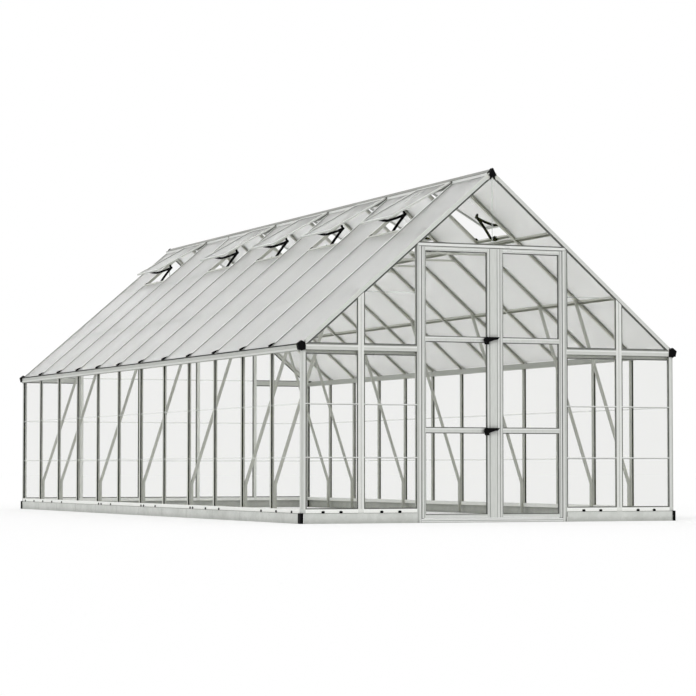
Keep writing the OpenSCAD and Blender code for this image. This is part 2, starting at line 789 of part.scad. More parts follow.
module gable_panels() {
  inset = slot_d - panel_edge;
  half = strip_t / 2 + panel_edge;
  low = wall_bands(rail_top - reach, gable_rail_h0 + reach);
  low_open = wall_bands(rail_top - reach, eave_h - half);
  high0 = eave_h - reach;
  front0 = front_post_x - front_post_w / 2 + inset;
  front1 = front_post_x + front_post_w / 2 - inset;
  corner = half_w - corner_post_w + inset;
  back = [for (x = back_post_xs) for (side = sides) x + side * (back_post_w / 2 - inset)];
  split = high_joint_h;
  color("aliceblue", 0.35) {
    both_walls() {
      gable_bay(front1, corner, concat(low, [[high0, ridge_h]]));
      gable_bay(jamb_x - reach, front0,
        concat(low, [[high0, split - half], [split + half, ridge_h]]));
      gable_bay(half, jamb_x - slot_d, [[header_top_h - reach, ridge_h]]);
    }
    mirror([0, 1, 0]) {
      both_walls() {
        gable_bay(back[3], corner, concat(low, [[high0, ridge_h]]));
        gable_bay(back[1], back[2],
          concat(low_open, [[eave_h + half, split - half], [split + half, ridge_h]]));
        gable_bay(half, back[0], [[split + half, ridge_h]]);
      }
      for (band = concat(low_open, [[eave_h + half, split - half]]))
        gable_bay(-back[0], back[0], [band]);
    }
  }
}

// H-shaped strip between two panels, X inwards from the wall's face and Z up
module strip_outline() {
  d = groove + 2 * strip_t;
  translate([tube_t - strip_t, -strip_h / 2]) {
    square([strip_t, strip_h]);
    translate([d - strip_t, 0]) square([strip_t, strip_h]);
    translate([0, (strip_h - strip_t) / 2]) square([d, strip_t]);
  }
}

module gable_strip(x0, x1, z) {
  translate([0, front_y, z]) along_x(x0 + gap, x1 - gap) strip_outline();
}

// Upright strip in the middle of a gable, up to the rafters
module upright_strip(z0) {
  difference() {
    translate([0, front_y, z0]) linear_extrude(ridge_h) rotate(-90) mirror([1, 0]) strip_outline();
    above_rafters(gable_rafter_h + gap);
  }
}

module panel_joint_strips() {
  front0 = front_post_x - front_post_w / 2;
  back = [for (x = back_post_xs) for (side = sides) x + side * back_post_w / 2];
  corner = half_w - corner_post_w;
  color("white", 0.6) {
    for (z = joint_hs) {
      both_walls() bay_spans(bar_w / 2 + gap, corner_post_w + gap)
        translate([half_w, 0, z]) mirror([1, 0, 0]) along_y($y0, $y1) strip_outline();
      both_walls() {
        gable_strip(jamb_x, front0, z);
        gable_strip(front0 + front_post_w, corner, z);
        mirror([0, 1, 0]) gable_strip(back[3], corner, z);
      }
    }
    both_walls() gable_strip(jamb_x, under_x(high_joint_h + strip_h, gable_rafter_h), high_joint_h);
    upright_strip(header_top_h + gap);
    mirror([0, 1, 0]) {
      for (z = concat(joint_hs, [eave_h, high_joint_h])) {
        gable_strip(-back[0], back[0], z);
        both_walls() gable_strip(back[1], z == high_joint_h
          ? min(back[2], under_x(z + strip_h, gable_rafter_h)) : back[2], z);
      }
      upright_strip(high_joint_h + strip_h / 2 + gap);
    }
  }
}

// The bar under the foot of each vent, between two rafters
module vent_sills() {
  color("silver") for (side = sides) on_slope(side)
    for (bay = vent_bays)
      along_y(line_y(bay) + bar_w / 2 + gap, line_y(bay + 1) - bar_w / 2 - gap)
        translate([sill_s, -vent_sill_d]) difference() {
          square([sill_w, vent_sill_d + 1]);
          translate([tube_t, -eps]) square([sill_w - 2 * tube_t, vent_sill_d - tube_t]);
        }
}

module at_vent(bay, side) {
  on_slope(side) translate([0, line_y(bay + 0.5), 0]) children();
}

// The two arms of a stay lie side by side, one on each side of this plane
module at_stay(bay, side) {
  at_vent(bay, side) translate([0, -stay_off, 0]) children();
}

module stay_brackets() {
  y1 = -stay_t - 2 * gap - 1;
  color("dimgray") for (side = sides) for (bay = vent_bays) at_stay(bay, side) {
    along_y(y1 - stay_bracket_t, y1) polygon([
      [sill_s - gap, -1], [sill_s - gap, foot.y - 8], [foot.x, foot.y - lower_stay_r],
      [foot.x - lower_stay_r, foot.y], [foot.x, foot.y + lower_stay_r], [sill_s - 12, -1]]);
    translate([sill_s - gap - stay_foot_t, y1 - stay_foot_l / 2, 2 - vent_sill_d])
      cube([stay_foot_t, stay_foot_l, vent_sill_d - 3]);
    translate([foot.x, -gap, foot.y]) rotate([90, 0, 0])
      cylinder(r = stay_pin_r, h = stay_t + stay_bracket_t + gap + 1);
  }
}

// Flat arm between two points of the slope's section, with a bore at its first end
module stay_arm(a, b, r, y0, boss0, boss1, tail) {
  v = b - a;
  angle = atan2(v.y, v.x);
  difference() {
    union() {
      along_y(y0, y0 + stay_t) translate(a) rotate(angle) union() {
        circle(r);
        translate([norm(v), 0]) circle(r);
        translate([0, -r]) square([norm(v), 2 * r]);
        if (tail > 0) translate([norm(v) - r, -tail]) square([2 * r, tail]);
        if (tail > 0) translate([norm(v), -tail]) circle(r);
      }
      along_y(boss0, boss1) translate(b) rotate(angle) circle(r - 1);
    }
    along_y(y0 - eps, y0 + stay_t + eps) translate(a) circle(stay_pin_r + turn_fit);
  }
}

module lower_stay(bay, side) {
  color("black") at_stay(bay, side)
    stay_arm(foot, elbow, lower_stay_r, -stay_t - 1, -1 - eps, -gap / 2, 0);
}

module upper_stay(bay, side) {
  color("black") at_stay(bay, side)
    stay_arm(head, elbow, upper_stay_r, 1, gap / 2, 1 + eps, stay_tail_l);
}

// Vent with its frame, glazing, hinge bead and stay bracket, drawn shut in the slope's frame
module shut_vent() {
  w = bay_pitch - 2 * sash_side;
  b = sash_bar_w;
  s0 = hinge_s + hook_r + 1.5;
  len_s = sash_end_s - s0;
  n_mid = hinge_n - roof_panel_t / 2;
  head_shut = [stay_head_s, stay_head_n];
  y1 = 1 + stay_t + 2 * gap;
  difference() {
    union() {
      translate([s0, -w / 2, sash_n0]) cube([len_s, w, sash_t]);
      translate([hinge_s, w / 2, hinge_n]) rotate([90, 0, 0]) cylinder(r = bead_r, h = w);
      translate([hinge_s, -w / 2, hinge_n - 1.5]) cube([s0 - hinge_s + 1, w, 3]);
    }
    translate([s0 + b, -w / 2 + b, sash_n0 - eps])
      cube([len_s - 2 * b, w - 2 * b, sash_t + 2 * eps]);
    translate([s0 + b - slot_d, -w / 2 + b - slot_d, n_mid - panel_fit])
      cube([len_s - 2 * (b - slot_d), w - 2 * (b - slot_d), roof_groove]);
  }
  translate([s0 + b - reach, -w / 2 + b - reach, n_mid])
    cube([len_s - 2 * (b - reach), w - 2 * (b - reach), roof_panel_t]);
  translate([0, -stay_off, 0]) {
    along_y(y1, y1 + stay_bracket_t) polygon([
      [sash_end_s - b, sash_n0 - gap], [sill_s - 2, sash_n0 - gap],
      [head_shut.x + 30, head_shut.y + 14], [head_shut.x, head_shut.y - upper_stay_r],
      [head_shut.x - upper_stay_r, head_shut.y], [head_shut.x, head_shut.y + upper_stay_r]]);
    translate([head_shut.x, y1 + stay_bracket_t, head_shut.y]) rotate([90, 0, 0])
      cylinder(r = stay_pin_r, h = y1 + stay_bracket_t - gap);
    translate([sash_end_s - b, y1 + stay_bracket_t - stay_foot_l / 2, sash_n0 - gap - stay_foot_t])
      cube([sill_s - 2 - sash_end_s + b, stay_foot_l, stay_foot_t]);
  }
}

module vent_sash(bay, side) {
  color("lightgray") at_vent(bay, side) translate([hinge_s, 0, hinge_n])
    rotate([0, -vent_open, 0]) translate([-hinge_s, 0, -hinge_n]) shut_vent();
}

module door_frame() {
  inner = jamb_x - jamb_w;
  color("silver") {
    both_walls() translate([inner, front_y, 0]) linear_extrude(header_h0 - gap) difference() {
      square([jamb_w, door_frame_d]);
      translate([jamb_w - slot_d, tube_t]) square([slot_d + eps, groove]);
      translate([tube_t, tube_t]) square([jamb_w - slot_d - 3 * tube_t, door_frame_d - 2 * tube_t]);
    }
    difference() {
      translate([0, front_y, header_h0]) along_x(slot_d - jamb_x, jamb_x - slot_d)
        rail_outline(door_frame_d, header_h, true, false);
      above_rafters(gable_rafter_h + gap);
    }
    translate([0, front_y, 0]) along_x(-inner + gap, inner - gap)
      rail_outline(door_frame_d, sill_h, false, false);
  }
}

module door_pivots() {
  low = sill_h + gap;
  high = header_h0 - gap;
  collar = leaf_clear - 3 * gap;
  color("gray") both_walls() translate([pivot_x, pivot_y, 0]) {
    translate([0, 0, low]) cylinder(r = collar_r, h = collar);
    translate([0, 0, low]) cylinder(r = pivot_r, h = leaf_clear - gap + pivot_l);
    translate([0, 0, high - collar]) cylinder(r = collar_r, h = collar);
    translate([0, 0, high - leaf_clear + gap - pivot_l])
      cylinder(r = pivot_r, h = leaf_clear - gap + pivot_l);
  }
}

// Stiles, rails and crossbars of a leaf that runs from its pivot in to one edge
module leaf_bars(edge, stile) {
  x0 = pivot_x - hinge_stile_w + leaf_t / 2;
  z_bars = concat([[leaf_h0, foot_rail_h], [leaf_h1 - top_rail_h, top_rail_h]],
    [for (z = crossbar_hs) [z - crossbar_h / 2, crossbar_h]]);
  linear_extrude_leaf() union() {
    translate([pivot_x, pivot_y]) circle(leaf_t / 2);
    translate([x0, leaf_front]) square([pivot_x - x0, leaf_t]);
  }
  linear_extrude_leaf() translate([edge, leaf_front]) square([stile, leaf_t]);
  for (bar = z_bars) translate([edge + stile + gap, leaf_front, bar[0]])
    cube([x0 - edge - stile - 2 * gap, leaf_t, bar[1]]);
}

module linear_extrude_leaf() {
  translate([0, 0, leaf_h0]) linear_extrude(leaf_h1 - leaf_h0) children();
}

// Panes of a leaf, or the slots for them when grown by their clearances
module leaf_panes(edge, stile, grow, fit) {
  x0 = edge + stile - reach - grow;
  x1 = pivot_x - hinge_stile_w + leaf_t / 2 + reach + grow;
  y = pivot_y - panel_t / 2 - fit;
  half = crossbar_h / 2;
  z = [leaf_h0 + foot_rail_h, crossbar_hs[0] - half, crossbar_hs[0] + half,
    crossbar_hs[1] - half, crossbar_hs[1] + half, leaf_h1 - top_rail_h];
  for (i = [0, 2, 4]) translate([x0, y, z[i] - reach - grow])
    cube([x1 - x0, panel_t + 2 * fit, z[i + 1] - z[i] + 2 * (reach + grow)]);
}

module pivot_bores() {
  for (z = [leaf_h0 - eps, leaf_h1 - pivot_l - 5]) translate([pivot_x, pivot_y, z])
    cylinder(r = pivot_r + turn_fit, h = pivot_l + 5 + eps);
}

module left_door_frame() {
  color("silver") difference() {
    union() {
      mirror([1, 0, 0]) leaf_bars(-left_edge, lock_stile_w);
      translate([band_x, leaf_front - band_rise, leaf_h0])
        cube([band_w, band_rise + 1, leaf_h1 - leaf_h0]);
    }
    mirror([1, 0, 0]) leaf_panes(-left_edge, lock_stile_w, panel_edge, panel_fit);
    mirror([1, 0, 0]) pivot_bores();
    for (z = handle_hs) translate([spindle_x, leaf_back + eps, z]) rotate([90, 0, 0])
      cylinder(r = spindle_r + turn_fit, h = leaf_t + 2 * eps);
  }
}

module right_door_frame() {
  color("silver") difference() {
    leaf_bars(right_edge, close_stile_w);
    leaf_panes(right_edge, close_stile_w, panel_edge, panel_fit);
    pivot_bores();
  }
}

module left_door_panels() {
  color("aliceblue", 0.35) mirror([1, 0, 0]) leaf_panes(-left_edge, lock_stile_w, 0, 0);
}

module right_door_panels() {
  color("aliceblue", 0.35) leaf_panes(right_edge, close_stile_w, 0, 0);
}

// Lock plates over the edge of the broad stile and the bolt's guides on its back
module left_door_fittings() {
  color("dimgray") {
    for (z = handle_hs) difference() {
      translate([spindle_x - plate_w / 4, leaf_front - gap - plate_t, z - plate_h * 0.7])
        cube([plate_w, plate_t, plate_h]);
      translate([spindle_x, leaf_front, z]) rotate([90, 0, 0])
        cylinder(r = spindle_r + turn_fit, h = plate_t + 1);
    }
    for (z = [bolt_up_h + guide_up, bolt_up_h + bolt_l - 2 * guide_up]) difference() {
      translate([bolt_x - bolt_r - 5, leaf_back + gap, z])
        cube([2 * bolt_r + 10, bolt_off + bolt_r + 3, guide_h]);
      translate([bolt_x, bolt_y, z - eps]) cylinder(r = bolt_r + turn_fit, h = guide_h + 2 * eps);
    }
  }
}

// Lever with a flat top that tapers to its tip, on a spindle through a crossbar
module door_handle(z) {
  color("black") translate([spindle_x, 0, z]) {
    along_y(leaf_front - lever_off - lever_t, leaf_front - lever_off) union() {
      circle(hub_r);
      polygon([[0, lever_top], [lever_l, lever_top],
        [lever_l - lever_tip_h, lever_top - lever_tip_h],
        [lever_l * 0.6, lever_top - lever_tip_h - 2], [hub_r / 2, -hub_r + 3]]);
    }
    along_y(leaf_front - lever_off - 1, leaf_front - plate_t - 2 * gap) circle(hub_r - 6);
    translate([0, leaf_back - 2, 0]) rotate([90, 0, 0])
      cylinder(r = spindle_r, h = leaf_t - 2 + lever_off + 1);
  }
}

module upper_door_handle() {
  door_handle(handle_hs[1]);
}

module lower_door_handle() {
  door_handle(handle_hs[0]);
}

module drop_bolt() {
  color("gray") translate([bolt_x, bolt_y, bolt_up_h]) {
    cylinder(r = bolt_r, h = bolt_l);
    translate([0, 0, bolt_l - 8]) rotate([-90, 0, 0]) cylinder(r = bolt_r - 1, h = 24);
    translate([0, 24, bolt_l - 8]) sphere(knob_r);
  }
}

base_rails();
base_caps();
bottom_rails();
corner_posts();
wall_posts();
gable_posts();
gable_rails();
gutters();
roof_caps();
rafters();
ridge_beam();
purlins();
collar_ties();
wall_braces();
wall_panels();
roof_panels();
gable_panels();
panel_joint_strips();
vent_sills();
stay_brackets();
door_frame();
door_pivots();
left_door_frame();
right_door_frame();
left_door_panels();
right_door_panels();
left_door_fittings();
upper_door_handle();
lower_door_handle();
drop_bolt();
vent_sash(vent_bays[0], -1);  // vent_sash_left_1
vent_sash(vent_bays[0], 1);  // vent_sash_right_1
vent_sash(vent_bays[1], -1);  // vent_sash_left_2
vent_sash(vent_bays[1], 1);  // vent_sash_right_2
vent_sash(vent_bays[2], -1);  // vent_sash_left_3
vent_sash(vent_bays[2], 1);  // vent_sash_right_3
vent_sash(vent_bays[3], -1);  // vent_sash_left_4
vent_sash(vent_bays[3], 1);  // vent_sash_right_4
vent_sash(vent_bays[4], -1);  // vent_sash_left_5
vent_sash(vent_bays[4], 1);  // vent_sash_right_5
lower_stay(vent_bays[0], -1);  // lower_stay_left_1
lower_stay(vent_bays[0], 1);  // lower_stay_right_1
lower_stay(vent_bays[1], -1);  // lower_stay_left_2
lower_stay(vent_bays[1], 1);  // lower_stay_right_2
lower_stay(vent_bays[2], -1);  // lower_stay_left_3
lower_stay(vent_bays[2], 1);  // lower_stay_right_3
lower_stay(vent_bays[3], -1);  // lower_stay_left_4
lower_stay(vent_bays[3], 1);  // lower_stay_right_4
lower_stay(vent_bays[4], -1);  // lower_stay_left_5
lower_stay(vent_bays[4], 1);  // lower_stay_right_5
upper_stay(vent_bays[0], -1);  // upper_stay_left_1
upper_stay(vent_bays[0], 1);  // upper_stay_right_1
upper_stay(vent_bays[1], -1);  // upper_stay_left_2
upper_stay(vent_bays[1], 1);  // upper_stay_right_2
upper_stay(vent_bays[2], -1);  // upper_stay_left_3
upper_stay(vent_bays[2], 1);  // upper_stay_right_3
upper_stay(vent_bays[3], -1);  // upper_stay_left_4
upper_stay(vent_bays[3], 1);  // upper_stay_right_4
upper_stay(vent_bays[4], -1);  // upper_stay_left_5
upper_stay(vent_bays[4], 1);  // upper_stay_right_5
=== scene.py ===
import bpy
import bmesh
import math
from mathutils import Matrix, Vector


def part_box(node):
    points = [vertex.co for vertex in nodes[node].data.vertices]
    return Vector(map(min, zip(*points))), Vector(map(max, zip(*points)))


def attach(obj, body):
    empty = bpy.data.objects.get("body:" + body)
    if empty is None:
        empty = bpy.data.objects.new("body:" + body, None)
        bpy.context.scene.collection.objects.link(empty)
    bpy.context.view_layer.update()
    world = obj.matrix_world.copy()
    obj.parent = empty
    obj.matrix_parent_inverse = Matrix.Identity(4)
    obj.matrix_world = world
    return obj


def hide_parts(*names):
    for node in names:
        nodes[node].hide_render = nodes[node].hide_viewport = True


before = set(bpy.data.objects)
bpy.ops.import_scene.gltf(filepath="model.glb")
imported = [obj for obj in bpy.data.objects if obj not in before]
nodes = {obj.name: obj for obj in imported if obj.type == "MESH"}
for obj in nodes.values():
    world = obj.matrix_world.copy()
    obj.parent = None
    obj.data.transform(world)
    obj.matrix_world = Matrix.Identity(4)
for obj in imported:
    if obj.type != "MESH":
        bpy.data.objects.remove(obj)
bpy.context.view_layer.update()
scene = bpy.context.scene
print("frame loaded:", len(nodes), "CAD nodes")


# camera, at the photograph's own viewing angle

cameraSetup = {
    "place": (-7.987, -20.059, 0.383),  # metres
    "pitchUp": 2.738,                   # degrees above the horizon
    "yaw": 22.670,                      # degrees, from +Y towards +X
    "lens": 130.75,
    "sensor": 36.0,
    "near": 0.1,
    "far": 400,
    "panes": 40,                        # many thin panes stand one behind another
}
cameraData = bpy.data.cameras.new("viewCamera")
cameraData.lens = cameraSetup["lens"]
cameraData.sensor_width = cameraSetup["sensor"]
cameraData.clip_start = cameraSetup["near"]
cameraData.clip_end = cameraSetup["far"]
camera = bpy.data.objects.new("viewCamera", cameraData)
camera.location = cameraSetup["place"]
camera.rotation_euler = (math.radians(90 + cameraSetup["pitchUp"]), 0, -math.radians(cameraSetup["yaw"]))
scene.collection.objects.link(camera)
scene.camera = camera
scene.view_settings.view_transform = "Standard"
scene.cycles.transparent_max_bounces = cameraSetup["panes"]
print("camera placed")


# node helpers for the materials

def newMaterial(name):
    mat = bpy.data.materials.new(name)
    mat.use_nodes = True
    tree = mat.node_tree
    tree.nodes.clear()
    out = tree.nodes.new("ShaderNodeOutputMaterial")
    shader = tree.nodes.new("ShaderNodeBsdfPrincipled")
    tree.links.new(shader.outputs["BSDF"], out.inputs["Surface"])
    return mat, tree, shader


# position on the object, stretched along each axis
def place(tree, stretch=(1, 1, 1)):
    coord = tree.nodes.new("ShaderNodeTexCoord")
    mapping = tree.nodes.new("ShaderNodeMapping")
    mapping.inputs["Scale"].default_value = stretch
    tree.links.new(coord.outputs["Object"], mapping.inputs["Vector"])
    return mapping.outputs["Vector"]


def noise(tree, vector, scale, detail, rough=0.5):
    node = tree.nodes.new("ShaderNodeTexNoise")
    node.inputs["Scale"].default_value = scale
    node.inputs["Detail"].default_value = detail
    node.inputs["Roughness"].default_value = rough
    tree.links.new(vector, node.inputs["Vector"])
    return node.outputs["Fac"]


def spread(tree, value, low, high, start, end):
    node = tree.nodes.new("ShaderNodeMapRange")
    node.inputs["From Min"].default_value = start
    node.inputs["From Max"].default_value = end
    node.inputs["To Min"].default_value = low
    node.inputs["To Max"].default_value = high
    tree.links.new(value, node.inputs["Value"])
    return node.outputs["Result"]


def twoTone(tree, factor, dark, light):
    node = tree.nodes.new("ShaderNodeValToRGB")
    node.color_ramp.elements[0].color = (*dark, 1)
    node.color_ramp.elements[1].color = (*light, 1)
    tree.links.new(factor, node.inputs["Fac"])
    return node.outputs["Color"]


def multiplied(tree, first, second):
    node = tree.nodes.new("ShaderNodeMix")
    node.data_type = "RGBA"
    node.blend_type = "MULTIPLY"
    node.inputs["Factor"].default_value = 1.0
    tree.links.new(first, node.inputs[6])
    tree.links.new(second, node.inputs[7])
    return node.outputs[2]


def raised(tree, shader, height, strength, distance):
    node = tree.nodes.new("ShaderNodeBump")
    node.inputs["Strength"].default_value = strength
    node.inputs["Distance"].default_value = distance
    tree.links.new(height, node.inputs["Height"])
    tree.links.new(node.outputs["Normal"], shader.inputs["Normal"])


# shade painted into the colour: darker in corners and channels, where less light comes in
shading = {"samples": 6, "blue": 0.94}


def corners(tree, reach, depth):
    node = tree.nodes.new("ShaderNodeAmbientOcclusion")
    node.samples = shading["samples"]
    node.inputs["Distance"].default_value = reach
    return twoTone(tree, node.outputs["AO"], (depth, depth, depth * shading["blue"]), (1, 1, 1))


# a look's two tones, mixed by a cloudy value
def mottle(tree, look, value, start=0.3, end=0.7):
    return twoTone(tree, spread(tree, value, 0, 1, start, end), look["dark"], look["light"])


def colourBy(tree, shader, colour):
    tree.links.new(colour, shader.inputs["Base Color"])


def roughenBy(tree, shader, look, value, below, above, start=0.3, end=0.7):
    patches = spread(tree, value, look["rough"] - below, look["rough"] + above, start, end)
    tree.links.new(patches, shader.inputs["Roughness"])


# metals

# mill is the plain aluminium; the other finishes are lighter and darker copies of it that paint the light and
# shade each kind of bar gets, and corner and reach say how dark and how far the shade painted into its
# corners goes
millFinish = {"dark": (0.575, 0.59, 0.56), "light": (0.655, 0.67, 0.64), "metallic": 0.2, "rough": 0.4,
              "corner": 0.16, "reach": 0.03}
# lighter copy for the bars inside: painted light, with milder painted shade in corners
litInnerFinish = {"dark": (0.59, 0.60, 0.55), "light": (0.69, 0.70, 0.65), "metallic": 0.2, "rough": 0.42,
               "corner": 0.55, "reach": 0.03}
# darker copy for the wall braces: painted shade
shadedBraceFinish = {"dark": (0.43, 0.44, 0.40), "light": (0.52, 0.53, 0.49), "metallic": 0.2, "rough": 0.42,
               "corner": 0.5, "reach": 0.03}
# darker copy for the wall posts and the strips inside them: painted shade
postFinish = {"dark": (0.52, 0.53, 0.49), "light": (0.62, 0.63, 0.59), "metallic": 0.2, "rough": 0.42,
              "corner": 0.6, "reach": 0.02}
# much lighter copy for the gable posts: painted light
litGablePostFinish = {"dark": (0.76, 0.775, 0.735), "light": (0.84, 0.855, 0.815), "metallic": 0.2, "rough": 0.4,
                   "corner": 0.3, "reach": 0.03}
railFinish = {"dark": (0.56, 0.575, 0.54), "light": (0.64, 0.655, 0.62), "metallic": 0.15, "rough": 0.4,
              "corner": 0.9, "reach": 0.02}
# near-white copy for the bottom rails: painted light
litFootFinish = {"dark": (0.86, 0.87, 0.84), "light": (0.94, 0.95, 0.92), "metallic": 0.1, "rough": 0.4,
              "corner": 0.85, "reach": 0.02}
# near-white copy for the caps on the rafters: painted highlight
highlightCapFinish = {"dark": (0.86, 0.875, 0.85), "light": (0.94, 0.95, 0.93), "metallic": 0.1, "rough": 0.34,
             "corner": 0.5, "reach": 0.01}
# very dark copy for the ridge beam: painted shade
shadedRidgeFinish = {"dark": (0.20, 0.205, 0.185), "light": (0.27, 0.275, 0.25), "metallic": 0.2, "rough": 0.42,
               "corner": 0.5, "reach": 0.03}
# darker copy for the gutters: painted shade
gutterFinish = {"dark": (0.43, 0.445, 0.415), "light": (0.51, 0.525, 0.49), "metallic": 0.2, "rough": 0.42,
                "corner": 0.3, "reach": 0.03}
# lighter copy for the beads, ribs and flashing: painted highlights
highlightFinish = {"dark": (0.70, 0.715, 0.69), "light": (0.79, 0.80, 0.78), "metallic": 0.15, "rough": 0.34,
                "corner": 0.5, "reach": 0.01}

grainAlong = {"X": (1.2, 18, 18), "Y": (18, 1.2, 18), "Z": (18, 18, 1.2)}  # drawn out along the bar


def aluminium(name, look, axis):
    mat, tree, shader = newMaterial(name + "Along" + axis)
    grain = noise(tree, place(tree, grainAlong[axis]), scale=9.0, detail=5.0)
    cloud = noise(tree, place(tree), scale=2.2, detail=3.0)
    tint = mottle(tree, look, grain)
    # shade painted into the bar's corners and channels
    shade = corners(tree, look["reach"], look["corner"])
    colourBy(tree, shader, multiplied(tree, tint, shade))
    roughenBy(tree, shader, look, cloud, below=0.07, above=0.08)
    shader.inputs["Metallic"].default_value = look["metallic"]
    raised(tree, shader, grain, strength=0.08, distance=0.0004)
    return mat


galvanised = {"dark": (0.57, 0.585, 0.555), "light": (0.68, 0.695, 0.665), "metallic": 0.2, "rough": 0.48}
zinc = {"dark": (0.42, 0.43, 0.43), "light": (0.6, 0.61, 0.6), "metallic": 0.8, "rough": 0.35}
spangles = {"scale": 38, "dull": (0.92, 0.925, 0.92), "corner": 0.35, "reach": 0.05}


def galvanisedSteel(name, look):
    mat, tree, shader = newMaterial(name)
    vector = place(tree)
    cells = tree.nodes.new("ShaderNodeTexVoronoi")
    cells.inputs["Scale"].default_value = spangles["scale"]
    tree.links.new(vector, cells.inputs["Vector"])
    cell = tree.nodes.new("ShaderNodeSeparateColor")
    tree.links.new(cells.outputs["Color"], cell.inputs["Color"])
    cloud = noise(tree, vector, scale=5.0, detail=6.0, rough=0.62)
    tint = mottle(tree, look, cloud, start=0.32, end=0.66)
    flakes = twoTone(tree, cell.outputs["Red"], spangles["dull"], (1, 1, 1))
    # shade painted into the corners and channels
    shade = corners(tree, spangles["reach"], spangles["corner"])
    colourBy(tree, shader, multiplied(tree, multiplied(tree, tint, flakes), shade))
    roughenBy(tree, shader, look, cell.outputs["Green"], below=0.08, above=0.1, start=0, end=1)
    shader.inputs["Metallic"].default_value = look["metallic"]
    raised(tree, shader, cloud, strength=0.12, distance=0.001)
    return mat


# plastics

blackPlastic = {"dark": (0.001, 0.001, 0.0012), "light": (0.004, 0.004, 0.0043), "rough": 0.58}
handleBlack = {"dark": (0.001, 0.001, 0.001), "light": (0.003, 0.003, 0.0033), "rough": 0.5}
# the two seal colours below are for real rubber and also for the dark strips that paint shade in gaps,
# grooves and at profiles' sides
darkSealAndShade = {"dark": (0.010, 0.012, 0.010), "light": (0.022, 0.025, 0.021), "rough": 0.6}
greySealAndShade = {"dark": (0.10, 0.105, 0.095), "light": (0.15, 0.155, 0.145), "rough": 0.6}
plasticGloss = 0.06


def mouldedPlastic(name, look):
    mat, tree, shader = newMaterial(name)
    vector = place(tree)
    grain = noise(tree, vector, scale=900.0, detail=3.0)
    cloud = noise(tree, vector, scale=14.0, detail=3.0)
    colourBy(tree, shader, mottle(tree, look, cloud))
    roughenBy(tree, shader, look, cloud, below=0.06, above=0.1)
    shader.inputs["Specular IOR Level"].default_value = plasticGloss
    raised(tree, shader, grain, strength=0.25, distance=0.0002)
    return mat


clearSheet = {"dark": (0.06, 0.08, 0.002), "light": (0.11, 0.13, 0.008), "alpha": 0.045, "rough": 0.08}
stripClear = {"dark": (0.66, 0.70, 0.65), "light": (0.76, 0.80, 0.75), "alpha": 0.14, "rough": 0.2}


def clearPanel(name, look):
    mat, tree, shader = newMaterial(name)
    cloud = noise(tree, place(tree), scale=1.3, detail=4.0)
    fine = noise(tree, place(tree, stretch=(3, 3, 1)), scale=24.0, detail=3.0)
    colourBy(tree, shader, mottle(tree, look, cloud))
    roughenBy(tree, shader, look, fine, below=0.03, above=0.05)
    shader.inputs["Alpha"].default_value = look["alpha"]
    raised(tree, shader, cloud, strength=0.08, distance=0.002)
    return mat


twinWall = {"dark": (0.92, 0.925, 0.91), "light": (0.97, 0.975, 0.96), "rough": 0.45,
            "alpha": 0.88, "through": 0.92}
ventWall = {"dark": (0.74, 0.75, 0.72), "light": (0.84, 0.85, 0.82), "rough": 0.3,
            "alpha": 0.44, "through": 0.85}
flutes = {"perMetre": 240, "turn": 6.2832, "shade": (0.965, 0.965, 0.965), "bend": 1.3}


def twinWallPanel(name, look):
    mat, tree, shader = newMaterial(name)
    cloud = noise(tree, place(tree, stretch=(0.7, 1.6, 0.7)), scale=2.4, detail=4.0)
    wave = tree.nodes.new("ShaderNodeTexWave")
    wave.bands_direction = "Y"
    wave.inputs["Scale"].default_value = flutes["perMetre"] / flutes["turn"]
    wave.inputs["Distortion"].default_value = 0
    tree.links.new(place(tree), wave.inputs["Vector"])
    ribs = twoTone(tree, wave.outputs["Fac"], flutes["shade"], (1, 1, 1))
    colourBy(tree, shader, multiplied(tree, mottle(tree, look, cloud), ribs))
    roughenBy(tree, shader, look, cloud, below=0.05, above=0.08)
    shader.inputs["Alpha"].default_value = look["alpha"]
    shader.inputs["Transmission Weight"].default_value = look["through"]
    shader.inputs["IOR"].default_value = flutes["bend"]
    raised(tree, shader, wave.outputs["Fac"], strength=0.10, distance=0.0006)
    return mat


alongX = aluminium("mill", millFinish, "X")
alongY = aluminium("mill", millFinish, "Y")
alongZ = aluminium("mill", millFinish, "Z")
highlightX = aluminium("highlight", highlightFinish, "X")
highlightY = aluminium("highlight", highlightFinish, "Y")
highlightZ = aluminium("highlight", highlightFinish, "Z")
litInnerX = aluminium("inner", litInnerFinish, "X")
litInnerY = aluminium("inner", litInnerFinish, "Y")
shadedBraceZ = aluminium("shadedBrace", shadedBraceFinish, "Z")
postZ = aluminium("post", postFinish, "Z")
litGablePostZ = aluminium("litGablePost", litGablePostFinish, "Z")
railX = aluminium("rail", railFinish, "X")
litFootY = aluminium("foot", litFootFinish, "Y")
shadedRidgeY = aluminium("ridge", shadedRidgeFinish, "Y")
highlightCapX = aluminium("cap", highlightCapFinish, "X")
gutterY = aluminium("gutter", gutterFinish, "Y")
steelBase = galvanisedSteel("galvanisedBase", galvanised)
zincPins = galvanisedSteel("zincPins", zinc)
capPlastic = mouldedPlastic("capPlastic", blackPlastic)
handlePlastic = mouldedPlastic("handlePlastic", handleBlack)
blackRubberAndShade = mouldedPlastic("blackRubberAndShade", darkSealAndShade)
greyRubberAndShade = mouldedPlastic("greyRubberAndShade", greySealAndShade)
wallSheet = clearPanel("wallSheet", clearSheet)
stripSheet = clearPanel("stripSheet", stripClear)
roofSheet = twinWallPanel("roofSheet", twinWall)
ventSheet = twinWallPanel("ventSheet", ventWall)
print("materials made")


# finishes of the CAD nodes that stay

